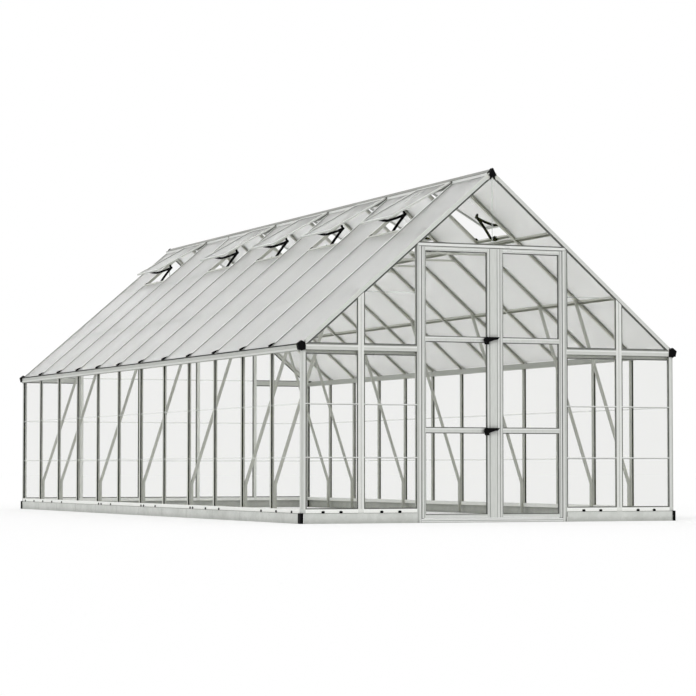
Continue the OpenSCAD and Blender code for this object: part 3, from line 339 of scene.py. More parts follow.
finishes = {
    "base_rails": steelBase, "base_caps": capPlastic, "roof_caps": capPlastic, "stay_brackets": capPlastic,
    "bottom_rails": litFootY, "gutters": gutterY, "ridge_beam": shadedRidgeY, "purlins": litInnerY, "vent_sills": litInnerY,
    "corner_posts": alongZ, "wall_posts": postZ, "gable_posts": litGablePostZ, "wall_braces": shadedBraceZ,
    "door_frame": alongZ, "left_door_frame": alongZ, "right_door_frame": alongZ,
    "gable_rails": railX, "collar_ties": litInnerX, "rafters": litInnerX,
    "wall_panels": wallSheet, "gable_panels": wallSheet, "left_door_panels": wallSheet,
    "right_door_panels": wallSheet, "roof_panels": roofSheet, "panel_joint_strips": stripSheet,
    "door_pivots": zincPins, "drop_bolt": zincPins,
    "left_door_fittings": capPlastic, "upper_door_handle": handlePlastic, "lower_door_handle": handlePlastic,
}


def dress(obj, mat):
    obj.data.materials.clear()
    obj.data.materials.append(mat)


for name, mat in finishes.items():
    dress(nodes[name], mat)


# width of the rounded edges in metres, of CAD nodes and of new pieces,
# and the bend in degrees from which an edge is rounded
rounding = {
    "roof_caps": 0.0015, "base_caps": 0.0015, "stay_brackets": 0.0008,
    "upper_door_handle": 0.001, "lower_door_handle": 0.001, "left_door_fittings": 0.001,
}
smallRounding = {"ventBracket": 0.0008, "stayArm": 0.0009, "ventClip": 0.0008}
leastBend = 35


def soften(obj, width):
    edge = obj.modifiers.new("softEdges", "BEVEL")
    edge.width = width
    edge.segments = 2
    edge.limit_method = "ANGLE"
    edge.angle_limit = math.radians(leastBend)
    edge.use_clamp_overlap = True


for name, width in rounding.items():
    soften(nodes[name], width)
print("CAD nodes dressed")


# vents: frame, sheet, hinge bead, bracket and folding stay, in the slope's own directions

house = {"halfWidth": 1.485, "eave": 1.262, "ridge": 2.542, "bay": 0.608, "bays": 12}
pitch = math.atan((house["ridge"] - house["eave"]) / house["halfWidth"])
front = -house["bay"] * house["bays"] / 2
bayLines = [front + k * house["bay"] for k in range(house["bays"] + 1)]
ventBays = [1, 3, 5, 7, 10]
vent = {
    "hinge": (0.040, 0.010), "open": 11,  # place in the slope, and degrees at rest
    "top": 0.0495, "end": 0.610, "width": 0.600, "bar": 0.022, "thick": 0.014,
    "slot": 0.0025, "slotDeep": 0.006, "lip": 0.004, "lipSlant": 0.005, "edge": 0.003,
    "sheet": 0.004, "sheetTuck": 0.0052,
    "bead": 0.0044, "tongue": 0.0015, "tongueFrom": 0.003, "tongueIn": 0.001,
}
hingeSeal = ((-0.0034, 0.0015), (-0.0002, 0.0015), (-0.0002, 0.0032), (-0.0034, 0.0022))  # from the top bar
ventBracket = {
    "pin": (0.528, -0.036), "gap": 0.0003, "foot": 0.003, "footLength": 0.030, "toe": 0.598,
    "toeNeck": (0.006, -0.004), "heelNeck": (0.030, -0.008), "heelFoot": 0.024,
    "roundPin": ((0.040, 0.014), (0.012, -0.005), (0.003, -0.0085), (-0.005, -0.007), (-0.0085, 0),
                 (-0.006, 0.008)),
}
stay = {
    "foot": (0.576, -0.036), "lower": 0.1925, "upper": 0.149, "lowerHalf": 0.010, "upperHalf": 0.0095,
    "thick": 0.008, "bow": 0.004, "tail": 0.022, "off": -0.025, "plate": 0.006, "footLength": 0.046,
    "pin": 0.004, "pinHead": 0.0075, "pinHeadHigh": 0.003, "apart": 0.001, "slack": 0.0006,
    "boss": 0.001, "rivet": 0.0055, "rivetHigh": 0.0035, "gap": 0.0002,
}
pinSteps = 20
ventRest = math.radians(vent["open"])


def turned(point, angle):
    c, s = math.cos(angle), math.sin(angle)
    return Vector((point[0] * c - point[1] * s, point[0] * s + point[1] * c))


# from (down the slope, along Y, out of the roof) to the house, turned about the vent's hinge if opened
def slopeMatrix(side, y, opened=0.0):
    c, s = math.cos(pitch), math.sin(pitch)
    base = Matrix(((side * c, 0, side * s, 0), (0, 1, 0, y), (-s, 0, c, house["ridge"]), (0, 0, 0, 1)))
    hinge = Vector((vent["hinge"][0], 0, vent["hinge"][1]))
    swing = Matrix.Translation(hinge) @ Matrix.Rotation(-opened, 4, "Y") @ Matrix.Translation(-hinge)
    return base @ swing


def finishMesh(bm, name, matrix, mat):
    bmesh.ops.transform(bm, matrix=matrix, verts=bm.verts)
    bmesh.ops.recalc_face_normals(bm, faces=bm.faces)
    mesh = bpy.data.meshes.new(name)
    bm.to_mesh(mesh)
    bm.free()
    mesh.materials.append(mat)
    obj = bpy.data.objects.new(name, mesh)
    scene.collection.objects.link(obj)
    return obj


# a flat outline in X and Z, drawn out along Y
def prism(bm, outline, y0, y1):
    near = [bm.verts.new((p[0], y0, p[1])) for p in outline]
    far = [bm.verts.new((p[0], y1, p[1])) for p in outline]
    bm.faces.new(near)
    bm.faces.new(far)
    for i in range(len(outline)):
        j = (i + 1) % len(outline)
        bm.faces.new((near[i], near[j], far[j], far[i]))


# a closed box between two corners, in metres
def block(bm, x0, x1, y0, y1, z0, z1):
    prism(bm, [(x0, z0), (x1, z0), (x1, z1), (x0, z1)], y0, y1)


# a box and its mirror image on the other side of the middle
def twoBlocks(bm, x0, x1, *rest):
    block(bm, x0, x1, *rest)
    block(bm, -x1, -x0, *rest)


def roundOutline(centre, radius, steps=24):
    angles = [2 * math.pi * i / steps for i in range(steps)]
    return [(centre[0] + radius * math.cos(a), centre[1] + radius * math.sin(a)) for a in angles]


# an outline (inwards, out of the roof) carried round a rectangle with mitred corners
def framePiece(bm, outline, s0, s1, halfW):
    rings = []
    for ends in ((s0, -halfW, 1, 1), (s1, -halfW, -1, 1), (s1, halfW, -1, -1), (s0, halfW, 1, -1)):
        rings.append([bm.verts.new((ends[0] + ends[2] * a, ends[1] + ends[3] * a, b)) for a, b in outline])
    count = len(outline)
    for k in range(4):
        first, second = rings[k], rings[(k + 1) % 4]
        for i in range(count):
            j = (i + 1) % count
            bm.faces.new((first[i], first[j], second[j], second[i]))


# a round-ended arm from a to b, bowed sideways in the middle
def armOutline(a, b, half, bow, steps=14, endSteps=8):
    a, b = Vector(a), Vector(b)
    along = (b - a).normalized()
    across = Vector((-along.y, along.x))
    length = (b - a).length
    points = []
    for i in range(steps + 1):
        t = i / steps
        points.append(a + along * length * t + across * (half + bow * math.sin(math.pi * t)))
    for i in range(1, endSteps):
        angle = math.pi / 2 - math.pi * i / endSteps
        points.append(b + along * half * math.cos(angle) + across * half * math.sin(angle))
    for i in range(steps + 1):
        t = 1 - i / steps
        points.append(a + along * length * t + across * (bow * math.sin(math.pi * t) - half))
    for i in range(1, endSteps):
        angle = -math.pi / 2 - math.pi * i / endSteps
        points.append(a + along * half * math.cos(angle) + across * half * math.sin(angle))
    return [(p.x, p.y) for p in points]


# a piece that belongs to a body, made from what a function puts in
def makePiece(name, mat, fill, body="house", where=Matrix.Identity(4), node=None):
    bm = bmesh.new()
    fill(bm)
    obj = finishMesh(bm, name, where, mat)
    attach(obj, body)
    if node:
        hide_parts(node)
    return obj


# box sections with a slot for the sheet and a slanted lip over it
def fillVentFrame(bm):
    bar, mid, slot = vent["bar"], vent["hinge"][1], vent["slot"]
    low, high = mid - vent["thick"] / 2, mid + vent["thick"] / 2
    back = bar - vent["slotDeep"]
    outline = [(0, low), (bar, low), (bar, mid - slot), (back, mid - slot), (back, mid + slot),
               (bar, mid + slot), (bar, mid + vent["lip"]), (bar - vent["lipSlant"], high),
               (vent["edge"], high), (0, high - vent["edge"])]
    framePiece(bm, outline, vent["top"], vent["end"], vent["width"] / 2)


def fillHingeBead(bm):
    s, mid = vent["hinge"]
    halfW, half = vent["width"] / 2, vent["tongue"]
    prism(bm, roundOutline(vent["hinge"], vent["bead"]), -halfW, halfW)
    block(bm, s + vent["tongueFrom"], vent["top"] + vent["tongueIn"], -halfW, halfW, mid - half, mid + half)


def fillVentSheet(bm):
    bar, tuck, half, mid = vent["bar"], vent["sheetTuck"], vent["sheet"] / 2, vent["hinge"][1]
    halfW = vent["width"] / 2
    block(bm, vent["top"] + bar - tuck, vent["end"] - bar + tuck, -halfW + bar - tuck, halfW - bar + tuck,
          mid - half, mid + half)


def fillHingeSeal(bm):
    top, mid, halfW = vent["top"], vent["hinge"][1], vent["width"] / 2
    prism(bm, [(top + s, mid + n) for s, n in hingeSeal], -halfW, halfW)


# a foot on the vent's lower bar, a cheek and the pin
def fillVentBracket(bm):
    pin, off = ventBracket["pin"], stay["off"]
    near = stay["apart"] + stay["thick"] + stay["slack"]
    far = near + stay["plate"]
    under = vent["hinge"][1] - vent["thick"] / 2 - ventBracket["gap"]
    heel, toe = vent["end"] - vent["bar"], ventBracket["toe"]
    toeNeck, heelNeck = ventBracket["toeNeck"], ventBracket["heelNeck"]
    cheek = [(toe, under), (toe - toeNeck[0], toeNeck[1])]
    cheek += [(pin[0] + s, pin[1] + n) for s, n in ventBracket["roundPin"]]
    cheek += [(heel - heelNeck[0], heelNeck[1]), (heel - ventBracket["heelFoot"], under)]
    prism(bm, cheek, off + near, off + far)
    halfFoot = ventBracket["footLength"] / 2
    block(bm, heel, toe, off + far - halfFoot, off + far + halfFoot, under, under - ventBracket["foot"])
    prism(bm, roundOutline(pin, stay["pin"], pinSteps), off + ventBracket["gap"], off + far)
    prism(bm, roundOutline(pin, stay["pinHead"], pinSteps), off + far, off + far + stay["pinHeadHigh"])


# foot, elbow and head of the stay, with the vent at rest
def stayPins():
    foot, hinge = Vector(stay["foot"]), Vector(vent["hinge"])
    head = hinge + turned(Vector(ventBracket["pin"]) - hinge, ventRest)
    line = head - foot
    lower, upper, reach = stay["lower"], stay["upper"], line.length
    bend = math.acos((lower ** 2 + reach ** 2 - upper ** 2) / (2 * lower * reach))
    angle = math.atan2(line.y, line.x) + bend
    return foot, foot + lower * Vector((math.cos(angle), math.sin(angle))), head


footPin, elbowPin, headPin = stayPins()


def fillLowerArm(bm):
    off, half, boss = stay["off"], stay["lowerHalf"], stay["boss"]
    inner, outer = stay["apart"], stay["apart"] + stay["thick"]
    prism(bm, armOutline(footPin, elbowPin, half, -stay["bow"]), off - outer, off - inner)
    prism(bm, roundOutline(elbowPin, half + boss), off - outer - boss, off - stay["gap"])
    rivet = roundOutline(elbowPin, stay["rivet"], pinSteps)
    prism(bm, rivet, off - outer - stay["rivetHigh"], off - outer - boss)


def fillUpperArm(bm):
    off, half, boss, gap = stay["off"], stay["upperHalf"], stay["boss"], stay["gap"]
    inner, outer = stay["apart"], stay["apart"] + stay["thick"]
    along = (elbowPin - headPin).normalized()
    tailEnd = elbowPin + stay["tail"] * Vector((along.y, -along.x))
    prism(bm, armOutline(headPin, elbowPin, half, stay["bow"]), off + inner, off + outer)
    prism(bm, armOutline(elbowPin, tailEnd, half, 0), off + inner + gap, off + outer - gap)
    prism(bm, roundOutline(elbowPin, half + boss), off + gap, off + outer + boss)
    rivet = roundOutline(elbowPin, stay["rivet"], pinSteps)
    prism(bm, rivet, off + outer + boss, off + outer + stay["rivetHigh"])


def makeVent(side, number, bay):
    tag = ("left" if side < 0 else "right") + "_" + str(number)
    body = "vent_" + tag
    y = front + (bay + 0.5) * house["bay"]
    level = slopeMatrix(side, y)
    lifted = slopeMatrix(side, y, ventRest)
    makePiece("ventFrame_" + tag, alongY, fillVentFrame, body, lifted, "vent_sash_" + tag)
    makePiece("ventHingeBead_" + tag, alongY, fillHingeBead, body, lifted)
    makePiece("ventSheet_" + tag, ventSheet, fillVentSheet, body, lifted)
    makePiece("ventHingeSeal_" + tag, blackRubberAndShade, fillHingeSeal, body, lifted)
    bracket = makePiece("ventBracket_" + tag, capPlastic, fillVentBracket, body, lifted)
    soften(bracket, smallRounding["ventBracket"])
    lower = makePiece("stayLowerArm_" + tag, handlePlastic, fillLowerArm,
                      "lower_arm_" + tag, level, "lower_stay_" + tag)
    upper = makePiece("stayUpperArm_" + tag, handlePlastic, fillUpperArm,
                      "upper_arm_" + tag, level, "upper_stay_" + tag)
    for arm in (lower, upper):
        soften(arm, smallRounding["stayArm"])


for number, bay in enumerate(ventBays, 1):
    for side in (-1, 1):
        makeVent(side, number, bay)
print("vents made:", 2 * len(ventBays))


# rubber in the grooves of the side walls' bars, inside the panes, black so that it also paints the shade in
# the bars' recesses, and strips over it on the inside
wallLow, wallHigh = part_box("wall_posts")[0][2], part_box("wall_posts")[1][2]
wallSeal = {
    "pane": 1.4797, "deep": 0.0090, "web": 0.0017, "edge": 0.0105, "strip": 0.0070, "overlap": 0.0002,
    "cornerPost": 0.032, "cornerWidth": 0.008,
}
sealInside = wallSeal["pane"] - wallSeal["deep"]
besidePosts = [(y + turn * wallSeal["web"], y + turn * wallSeal["edge"])
               for y in bayLines[1:-1] for turn in (-1, 1)]
cornerPost = bayLines[-1] - wallSeal["cornerPost"]
besideCorners = [(turn * cornerPost, turn * cornerPost - turn * wallSeal["cornerWidth"])
                 for turn in (-1, 1)]


def wallStrips(inner, outer, spans):
    def fill(bm):
        for side in (-1, 1):
            x0, x1 = sorted((side * inner, side * outer))
            for ends in spans:
                block(bm, x0, x1, *sorted(ends), wallLow, wallHigh)
    return fill


makePiece("wallSeals", blackRubberAndShade,
          wallStrips(sealInside, wallSeal["pane"], besidePosts + besideCorners))
makePiece("wallSealStrips", postZ,
          wallStrips(sealInside - wallSeal["strip"], sealInside + wallSeal["overlap"], besidePosts))


# an outline moved inwards by a width, edge by edge
def inset(outline, width):
    moved = []
    count = len(outline)
    for i in range(count):
        before, at, after = (Vector(outline[(i + k) % count]) for k in (-1, 0, 1))
        u, v = (at - before).normalized(), (after - at).normalized()
        nu, nv = Vector((-u.y, u.x)), Vector((-v.y, v.x))
        moved.append(at + (nu + nv) * (width / (1 + nu.dot(nv))))
    return moved


# a flat ring inside an outline that runs anticlockwise in X and Z
def ring(bm, outline, width, y0, y1):
    outer = [Vector(p) for p in outline]
    rings = []
    for points, y in ((outer, y0), (outer, y1), (inset(outline, width), y1), (inset(outline, width), y0)):
        rings.append([bm.verts.new((p.x, y, p.y)) for p in points])
    for k in range(4):
        first, second = rings[k], rings[(k + 1) % 4]
        for i in range(len(outline)):
            j = (i + 1) % len(outline)
            bm.faces.new((first[i], first[j], second[j], second[i]))


# openings of the gables, mirrored left to right where they aren't in the middle
gable = {
    "face": 3.648, "pane": (3.6412, 3.6474), "shadeWidth": 0.008,
    "low": 0.1003, "railLow": 1.218, "railHigh": 1.262, "lip": 0.023, "header": 1.998, "rafterDeep": 0.030,
    "jamb": 0.599, "corner": 1.453, "frontPost": (1.010, 1.054),
    "backPosts": ((0.287, 0.313), (0.887, 0.913)),
}
underRafter = house["ridge"] - gable["rafterDeep"] / math.cos(pitch)


def rafterHeight(x):
    return underRafter - abs(x) * math.tan(pitch)


def rafterPlace(z):
    return (underRafter - z) / math.tan(pitch)


def gableOpenings():
    low, railHigh = gable["low"], gable["railHigh"]
    lip = gable["railLow"] - gable["lip"]
    eaveX = rafterPlace(railHigh)
    inner, outer = gable["frontPost"]
    jamb, corner, header = gable["jamb"], gable["corner"], gable["header"]
    frontSide = [
        [(jamb, low), (inner, low), (inner, lip), (jamb, lip)],
        [(outer, low), (corner, low), (corner, lip), (outer, lip)],
        [(jamb, railHigh), (inner, railHigh), (inner, rafterHeight(inner)), (jamb, rafterHeight(jamb))],
        [(outer, railHigh), (eaveX, railHigh), (outer, rafterHeight(outer))],
    ]
    topX = rafterPlace(header)
    frontMiddle = [[(-topX, header), (topX, header), (0, underRafter)]]
    (a, b), (c, d) = gable["backPosts"]
    backSide = [
        [(b, low), (c, low), (c, rafterHeight(c)), (b, rafterHeight(b))],
        [(d, low), (corner, low), (corner, gable["railLow"]), (d, gable["railLow"])],
        [(d, railHigh), (eaveX, railHigh), (d, rafterHeight(d))],
    ]
    backMiddle = [[(-a, low), (a, low), (a, rafterHeight(a)), (0, underRafter), (-a, rafterHeight(a))]]
    return (-1, frontSide, frontMiddle), (1, backSide, backMiddle)


# grey rings round every gable pane, dressed as rubber, that paint the shade on the profiles' sides
def fillGableShadeRings(bm):
    near, far = gable["pane"]
    for end, sides, middle in gableOpenings():
        y0, y1 = sorted((end * near, end * far))
        for outline in sides:
            ring(bm, outline, gable["shadeWidth"], y0, y1)
            ring(bm, [(-x, z) for x, z in reversed(outline)], gable["shadeWidth"], y0, y1)
        for outline in middle:
            ring(bm, outline, gable["shadeWidth"], y0, y1)


makePiece("gableShadeRings", greyRubberAndShade, fillGableShadeRings)

# bright beads that paint highlights and dark seams that paint shade lines, on the front rails, the header and
# the sill
sunk = 0.0005  # how deep a bead or a seam sits in the bar behind it
railTrim = {"bead": (1.2415, 1.2530), "seam": (1.2560, 1.2605), "foot": (1.2140, 1.2180),
            "proud": 0.0012, "seamProud": 0.0006}
headerTrim = {"bead": (1.9790, 1.9970), "seam": (1.9763, 1.9778), "end": 0.583}
sillTrim = {"bead": (0.0155, 0.0274), "seam": (0.0132, 0.0150), "lowBead": (0.0030, 0.0126),
            "inFromJamb": 0.033}
runs = [(gable["jamb"], gable["frontPost"][0]), (gable["frontPost"][1], gable["corner"])]


def onFront(proud):
    return -gable["face"] - proud, -gable["face"] + sunk


def fillFrontTrim(kind, proud):
    y0, y1 = onFront(proud)

    def fill(bm):
        for x0, x1 in runs:
            for key in (("bead",) if kind == "bead" else ("seam", "foot")):
                twoBlocks(bm, x0, x1, y0, y1, *railTrim[key])
        block(bm, -headerTrim["end"], headerTrim["end"], y0, y1, *headerTrim[kind])
        inner = gable["jamb"] - sillTrim["inFromJamb"]
        for key in (("bead", "lowBead") if kind == "bead" else ("seam",)):
            block(bm, -inner, inner, y0, y1, *sillTrim[key])
    return fill


makePiece("frontHighlights", highlightX, fillFrontTrim("bead", railTrim["proud"]))
makePiece("frontShadeLines", greyRubberAndShade, fillFrontTrim("seam", railTrim["seamProud"]))

# bright caps on the strips between the front gable's panes that paint their highlights, each with a grey edge
# below that paints the shade under it
stripTrim = {"heights": (0.462, 0.838), "cap": (-0.0010, 0.0050), "edge": (-0.0034, -0.0010),
             "y": (-3.6486, -3.6460)}


def fillStrips(key):
    def fill(bm):
        for z in stripTrim["heights"]:
            for x0, x1 in runs:
                twoBlocks(bm, x0, x1, *stripTrim["y"], z + stripTrim[key][0], z + stripTrim[key][1])
    return fill


makePiece("frontStripHighlights", highlightX, fillStrips("cap"))
makePiece("frontStripShadeEdges", greyRubberAndShade, fillStrips("edge"))

# bright ribs painting highlights and grey lines painting shade on the upright bars of the front: jambs, gable
# posts and corner posts, as pairs of places across
jambRibs = {"highlight": [(0.5700, 0.5770)], "dark": [(0.5905, 0.5925)], "foot": 0.0, "head": 1.974}
cornerRibs = {"highlight": [(1.4590, 1.4640)], "dark": [(1.4790, 1.4808)], "foot": gable["low"], "head": 1.208}
postRibs = {"highlight": [(1.0180, 1.0250), (1.0390, 1.0460)], "dark": [(1.0310, 1.0330)],
            "underRafter": 0.002}
ribProud = {"highlight": 0.0009, "dark": 0.0004}


def fillUprights(kind):
    y0, y1 = onFront(ribProud[kind])

    def fill(bm):
        for ribs in (jambRibs, cornerRibs):
            for x0, x1 in ribs[kind]:
                twoBlocks(bm, x0, x1, y0, y1, ribs["foot"], ribs["head"])
        for x0, x1 in postRibs[kind]:
            twoBlocks(bm, x0, x1, y0, y1, gable["low"], rafterHeight(x1) - postRibs["underRafter"])
    return fill


makePiece("frontUprightHighlights", highlightZ, fillUprights("highlight"))
makePiece("frontUprightShadeLines", greyRubberAndShade, fillUprights("dark"))

# gutters: a black strip under the roof sheets' ends that paints the shadow there, and a lighter lip along the
# foot
gutterTrim = {"face": 1.499, "end": 3.6235, "darkStrip": (1.2535, 1.2612), "lip": (1.2145, 1.2290),
              "proud": 0.0012}


def fillGutters(key):
    def fill(bm):
        x0, x1 = gutterTrim["face"] - sunk, gutterTrim["face"] + gutterTrim["proud"]
        twoBlocks(bm, x0, x1, -gutterTrim["end"], gutterTrim["end"], *gutterTrim[key])
    return fill


makePiece("gutterSeals", blackRubberAndShade, fillGutters("darkStrip"))
makePiece("gutterLips", alongY, fillGutters("lip"))


# a piece filled in the slope's own directions, once on each slope
def onSlopes(name, mat, fillSlope):
    def fill(bm):
        for side in (-1, 1):
            before = len(bm.verts)
            fillSlope(bm)
            bm.verts.ensure_lookup_table()
            bmesh.ops.transform(bm, matrix=slopeMatrix(side, 0), verts=bm.verts[before:])
    return makePiece(name, mat, fill)


# grey strips on the roof sheets that paint the shadow beside every rafter and along the top edge of the bays
# without a vent
roofShade = {
    "bar": 0.0112, "gableBar": 0.030, "gap": 0.0002, "width": 0.0070, "low": -0.0023, "high": -0.0011,
    "top": 0.046, "underVent": 0.6255, "end": 1.945, "topAbove": 0.006, "topBelow": 0.002,
}


def fillRoofShadeStrips(bm):
    s1, heights, width = roofShade["end"], (roofShade["low"], roofShade["high"]), roofShade["width"]
    besideGable = roofShade["gableBar"] + roofShade["gap"]
    for bay in range(house["bays"]):
        s0 = roofShade["underVent"] if bay in ventBays else roofShade["top"]
        y0 = bayLines[bay] + (besideGable if bay == 0 else roofShade["bar"])
        y1 = bayLines[bay + 1] - (besideGable if bay == house["bays"] - 1 else roofShade["bar"])
        block(bm, s0, s1, y0, y0 + width, *heights)
        block(bm, s0, s1, y1 - width, y1, *heights)
        if bay not in ventBays:
            block(bm, s0 - roofShade["topAbove"], s0 + roofShade["topBelow"], y0, y1, *heights)


onSlopes("roofShadeStrips", greyRubberAndShade, fillRoofShadeStrips)

# bright caps on the rafters that paint their highlights, a bead and a black line that paints shade on the
# gable rafters' faces, and flashing in the lighter aluminium along the ridge that paints its highlight
rafterTrim = {
    "half": 0.0102, "from": 0.068, "end": 1.943, "low": -0.0002, "cap": 0.0008, "gableBar": 0.0285,
    "face": (-0.0262, -0.0040), "shadeEdge": (-0.0299, -0.0262), "faceProud": 0.0008, "shadeEdgeProud": 0.0006,
    "faceFrom": 0.075, "faceEnd": 1.930, "flashingGap": 0.012,
    "flashing": ((0.0402, 0.0140), (0.0440, 0.0134), (0.0510, 0.0026), (0.0580, -0.0003), (0.0580, -0.0019),
                 (0.0490, -0.0019), (0.0440, 0.0062), (0.0402, 0.0062)),
}


def fillRafterHighlights(bm):
    for y in bayLines[1:-1]:
        block(bm, rafterTrim["from"], rafterTrim["end"], y - rafterTrim["half"], y + rafterTrim["half"],
              rafterTrim["low"], rafterTrim["cap"])


def fillGableCaps(bm):
    for turn in (-1, 1):
        ends = sorted((turn * gable["face"], turn * (gable["face"] - rafterTrim["gableBar"])))
        block(bm, rafterTrim["from"], rafterTrim["end"], *ends, rafterTrim["low"], rafterTrim["cap"])


def gableFaces(key):
    inner, outer = gable["face"] - sunk, gable["face"] + rafterTrim[key + "Proud"]

    def fill(bm):
        for turn in (-1, 1):
            ends = sorted((turn * inner, turn * outer))
            block(bm, rafterTrim["faceFrom"], rafterTrim["faceEnd"], *ends, *rafterTrim[key])
    return fill


def fillFlashing(bm):
    gap = rafterTrim["flashingGap"]
    for bay in range(house["bays"]):
        if bay not in ventBays:
            prism(bm, rafterTrim["flashing"], bayLines[bay] + gap, bayLines[bay + 1] - gap)


onSlopes("rafterHighlights", highlightCapX, fillRafterHighlights)
onSlopes("gableRafterCaps", alongX, fillGableCaps)
onSlopes("gableRafterBeads", alongX, gableFaces("face"))
onSlopes("gableRafterShadeEdges", blackRubberAndShade, gableFaces("shadeEdge"))
onSlopes("ridgeFlashing", highlightY, fillFlashing)

# feet of the stays' brackets: a plate under the sill bar and the web that runs on beneath it
stayFoot = {
    "plate": (0.6003, 0.6248, -0.0175, -0.0145), "near": 0.0096,
    "web": ((0.5985, -0.0143), (0.6248, -0.0143), (0.6248, -0.0245), (0.6150, -0.0330), (0.5985, -0.0435)),
}


def fillStayFeet(bm):
    s0, s1, low, high = stayFoot["plate"]
    for bay in ventBays:
        line = front + (bay + 0.5) * house["bay"] + stay["off"] - stayFoot["near"]
        middle = line - stay["plate"] / 2
        block(bm, s0, s1, middle - stay["footLength"] / 2, middle + stay["footLength"] / 2, low, high)
        prism(bm, stayFoot["web"], line - stay["plate"], line)


onSlopes("stayFeet", capPlastic, fillStayFeet)

# in the vents' bays: a clip at the far lower corner
ventClip = {
    "outline": ((0.578, -0.004), (0.606, -0.004), (0.606, 0.0022), (0.600, 0.0022), (0.582, 0.0022),
                (0.578, 0.0)),
    "rafter": 0.0108, "reach": 0.020,
}


def fillVentClips(bm):
    for bay in ventBays:
        far = bayLines[bay + 1] - ventClip["rafter"]
        prism(bm, ventClip["outline"], far - ventClip["reach"], far)


ventClips = onSlopes("ventCornerClips", capPlastic, fillVentClips)
soften(ventClips, smallRounding["ventClip"])
print("seals, beads and clips made")

# door leaves: grey rubber round the panes that also paints the shade at their edges, and bright ribs and grey
# lines along the stiles that paint highlights and shade
doorTrim = {
    "front": -3.651, "pane": (-3.6462, -3.6352), "darkStrip": 0.006, "low": 0.0565, "high": 1.9445,
    "bars": ((0.6425, 0.6755), (1.2950, 1.3280)),
    "leaves": {"left": (-0.535, -0.045), "right": (0.0785, 0.535)},
    "highlight": {"left": [(-0.5575, -0.5505), (-0.0390, -0.0320), (0.0385, 0.0465)],
               "right": [(0.0640, 0.0700), (0.5505, 0.5575)]},
    "dark": {"left": [(-0.5450, -0.5432), (-0.0276, -0.0258), (0.0342, 0.0358)],
             "right": [(0.0728, 0.0742), (0.5432, 0.5450)]},
    "foot": 0.034, "head": 1.970, "footHighlight": (0.0370, 0.0450), "headHighlight": (1.9560, 1.9650),
    "barHighlight": (0.0115, 0.0035), "highlightProud": 0.0008, "plate": -0.070,
}


def doorSealsAndShade(leaf):
    x0, x1 = doorTrim["leaves"][leaf]
    edges = [doorTrim["low"]] + [z for bar in doorTrim["bars"] for z in bar] + [doorTrim["high"]]

    def fill(bm):
        for z0, z1 in zip(edges[0::2], edges[1::2]):
            ring(bm, [(x0, z0), (x1, z0), (x1, z1), (x0, z1)], doorTrim["darkStrip"], *doorTrim["pane"])
    return fill


def doorLines(leaf, kind):
    y0, y1 = doorTrim["front"] - ribProud[kind], doorTrim["front"] + sunk

    def fill(bm):
        for x0, x1 in doorTrim[kind][leaf]:
            block(bm, x0, x1, y0, y1, doorTrim["foot"], doorTrim["head"])
    return fill


# the bright beads of the left leaf's cross-bars, painted highlights, end at its lock plate
def crossbarHighlights(leaf):
    x0, x1 = doorTrim["leaves"][leaf]
    y0, y1 = doorTrim["front"] - doorTrim["highlightProud"], doorTrim["front"] + sunk
    barEnd = doorTrim["plate"] if leaf == "left" else x1
    below, above = doorTrim["barHighlight"]

    def fill(bm):
        for z0, z1 in doorTrim["bars"]:
            block(bm, x0, barEnd, y0, y1, z1 - below, z1 - above)
        for key in ("footHighlight", "headHighlight"):
            block(bm, x0, x1, y0, y1, *doorTrim[key])
    return fill


for leaf in ("left", "right"):
    body = leaf + "_door"
    makePiece(leaf + "DoorSealsAndShade", greyRubberAndShade, doorSealsAndShade(leaf), body)
    makePiece(leaf + "DoorHighlights", highlightZ, doorLines(leaf, "highlight"), body)
    makePiece(leaf + "DoorShadeLines", greyRubberAndShade, doorLines(leaf, "dark"), body)
    makePiece(leaf + "DoorCrossHighlights", highlightX, crossbarHighlights(leaf), body)
print("door trim made")

# base: seams at every bay line, and rivets beside them
baseTrim = {
    "side": 1.493, "low": 0.003, "high": 0.067, "half": 0.0009, "seamSunk": 0.0004, "seamProud": 0.0003,
    "rivet": 0.0042, "taper": 0.55, "rivetSteps": (-0.022, 0.022), "rivetHeights": (0.018, 0.052),
    "foot": (0.0706, 0.0728), "cornerGap": 0.034, "proud": 0.0007,
}


def fillBaseSeams(bm):
    inner, outer = baseTrim["side"] - baseTrim["seamSunk"], baseTrim["side"] + baseTrim["seamProud"]
    for y in bayLines[1:-1]:
        for side in (-1, 1):
            x0, x1 = sorted((side * inner, side * outer))
            block(bm, x0, x1, y - baseTrim["half"], y + baseTrim["half"], baseTrim["low"], baseTrim["high"])


def addRivet(bm, side, y, z):
    disc = bmesh.ops.create_cone(bm, cap_ends=True, segments=16, radius1=baseTrim["rivet"],
                                 radius2=baseTrim["rivet"] * baseTrim["taper"], depth=baseTrim["proud"] * 2)
    turn = Matrix.Rotation(side * math.pi / 2, 4, "Y")
    where = Matrix.Translation((side * baseTrim["side"], y, z))
    bmesh.ops.transform(bm, matrix=where @ turn, verts=disc["verts"])


def fillRivets(bm):
    for y in bayLines[1:-1]:
        for step in baseTrim["rivetSteps"]:
            for z in baseTrim["rivetHeights"]:
                for side in (-1, 1):
                    addRivet(bm, side, y + step, z)


def fillFootSeams(bm):
    inner, outer = house["halfWidth"] - sunk, house["halfWidth"] + baseTrim["proud"]
    for turn in (-1, 1):
        x0, x1 = sorted((turn * inner, turn * outer))
        block(bm, x0, x1, front + baseTrim["cornerGap"], -front - baseTrim["cornerGap"], *baseTrim["foot"])
    for x0, x1 in runs:
        twoBlocks(bm, x0, x1, *onFront(baseTrim["proud"]), *baseTrim["foot"])


makePiece("baseSeams", greyRubberAndShade, fillBaseSeams)
makePiece("footSeams", greyRubberAndShade, fillFootSeams)
makePiece("baseRivets", zincPins, fillRivets)
print("base trim made")


# floor, light and background

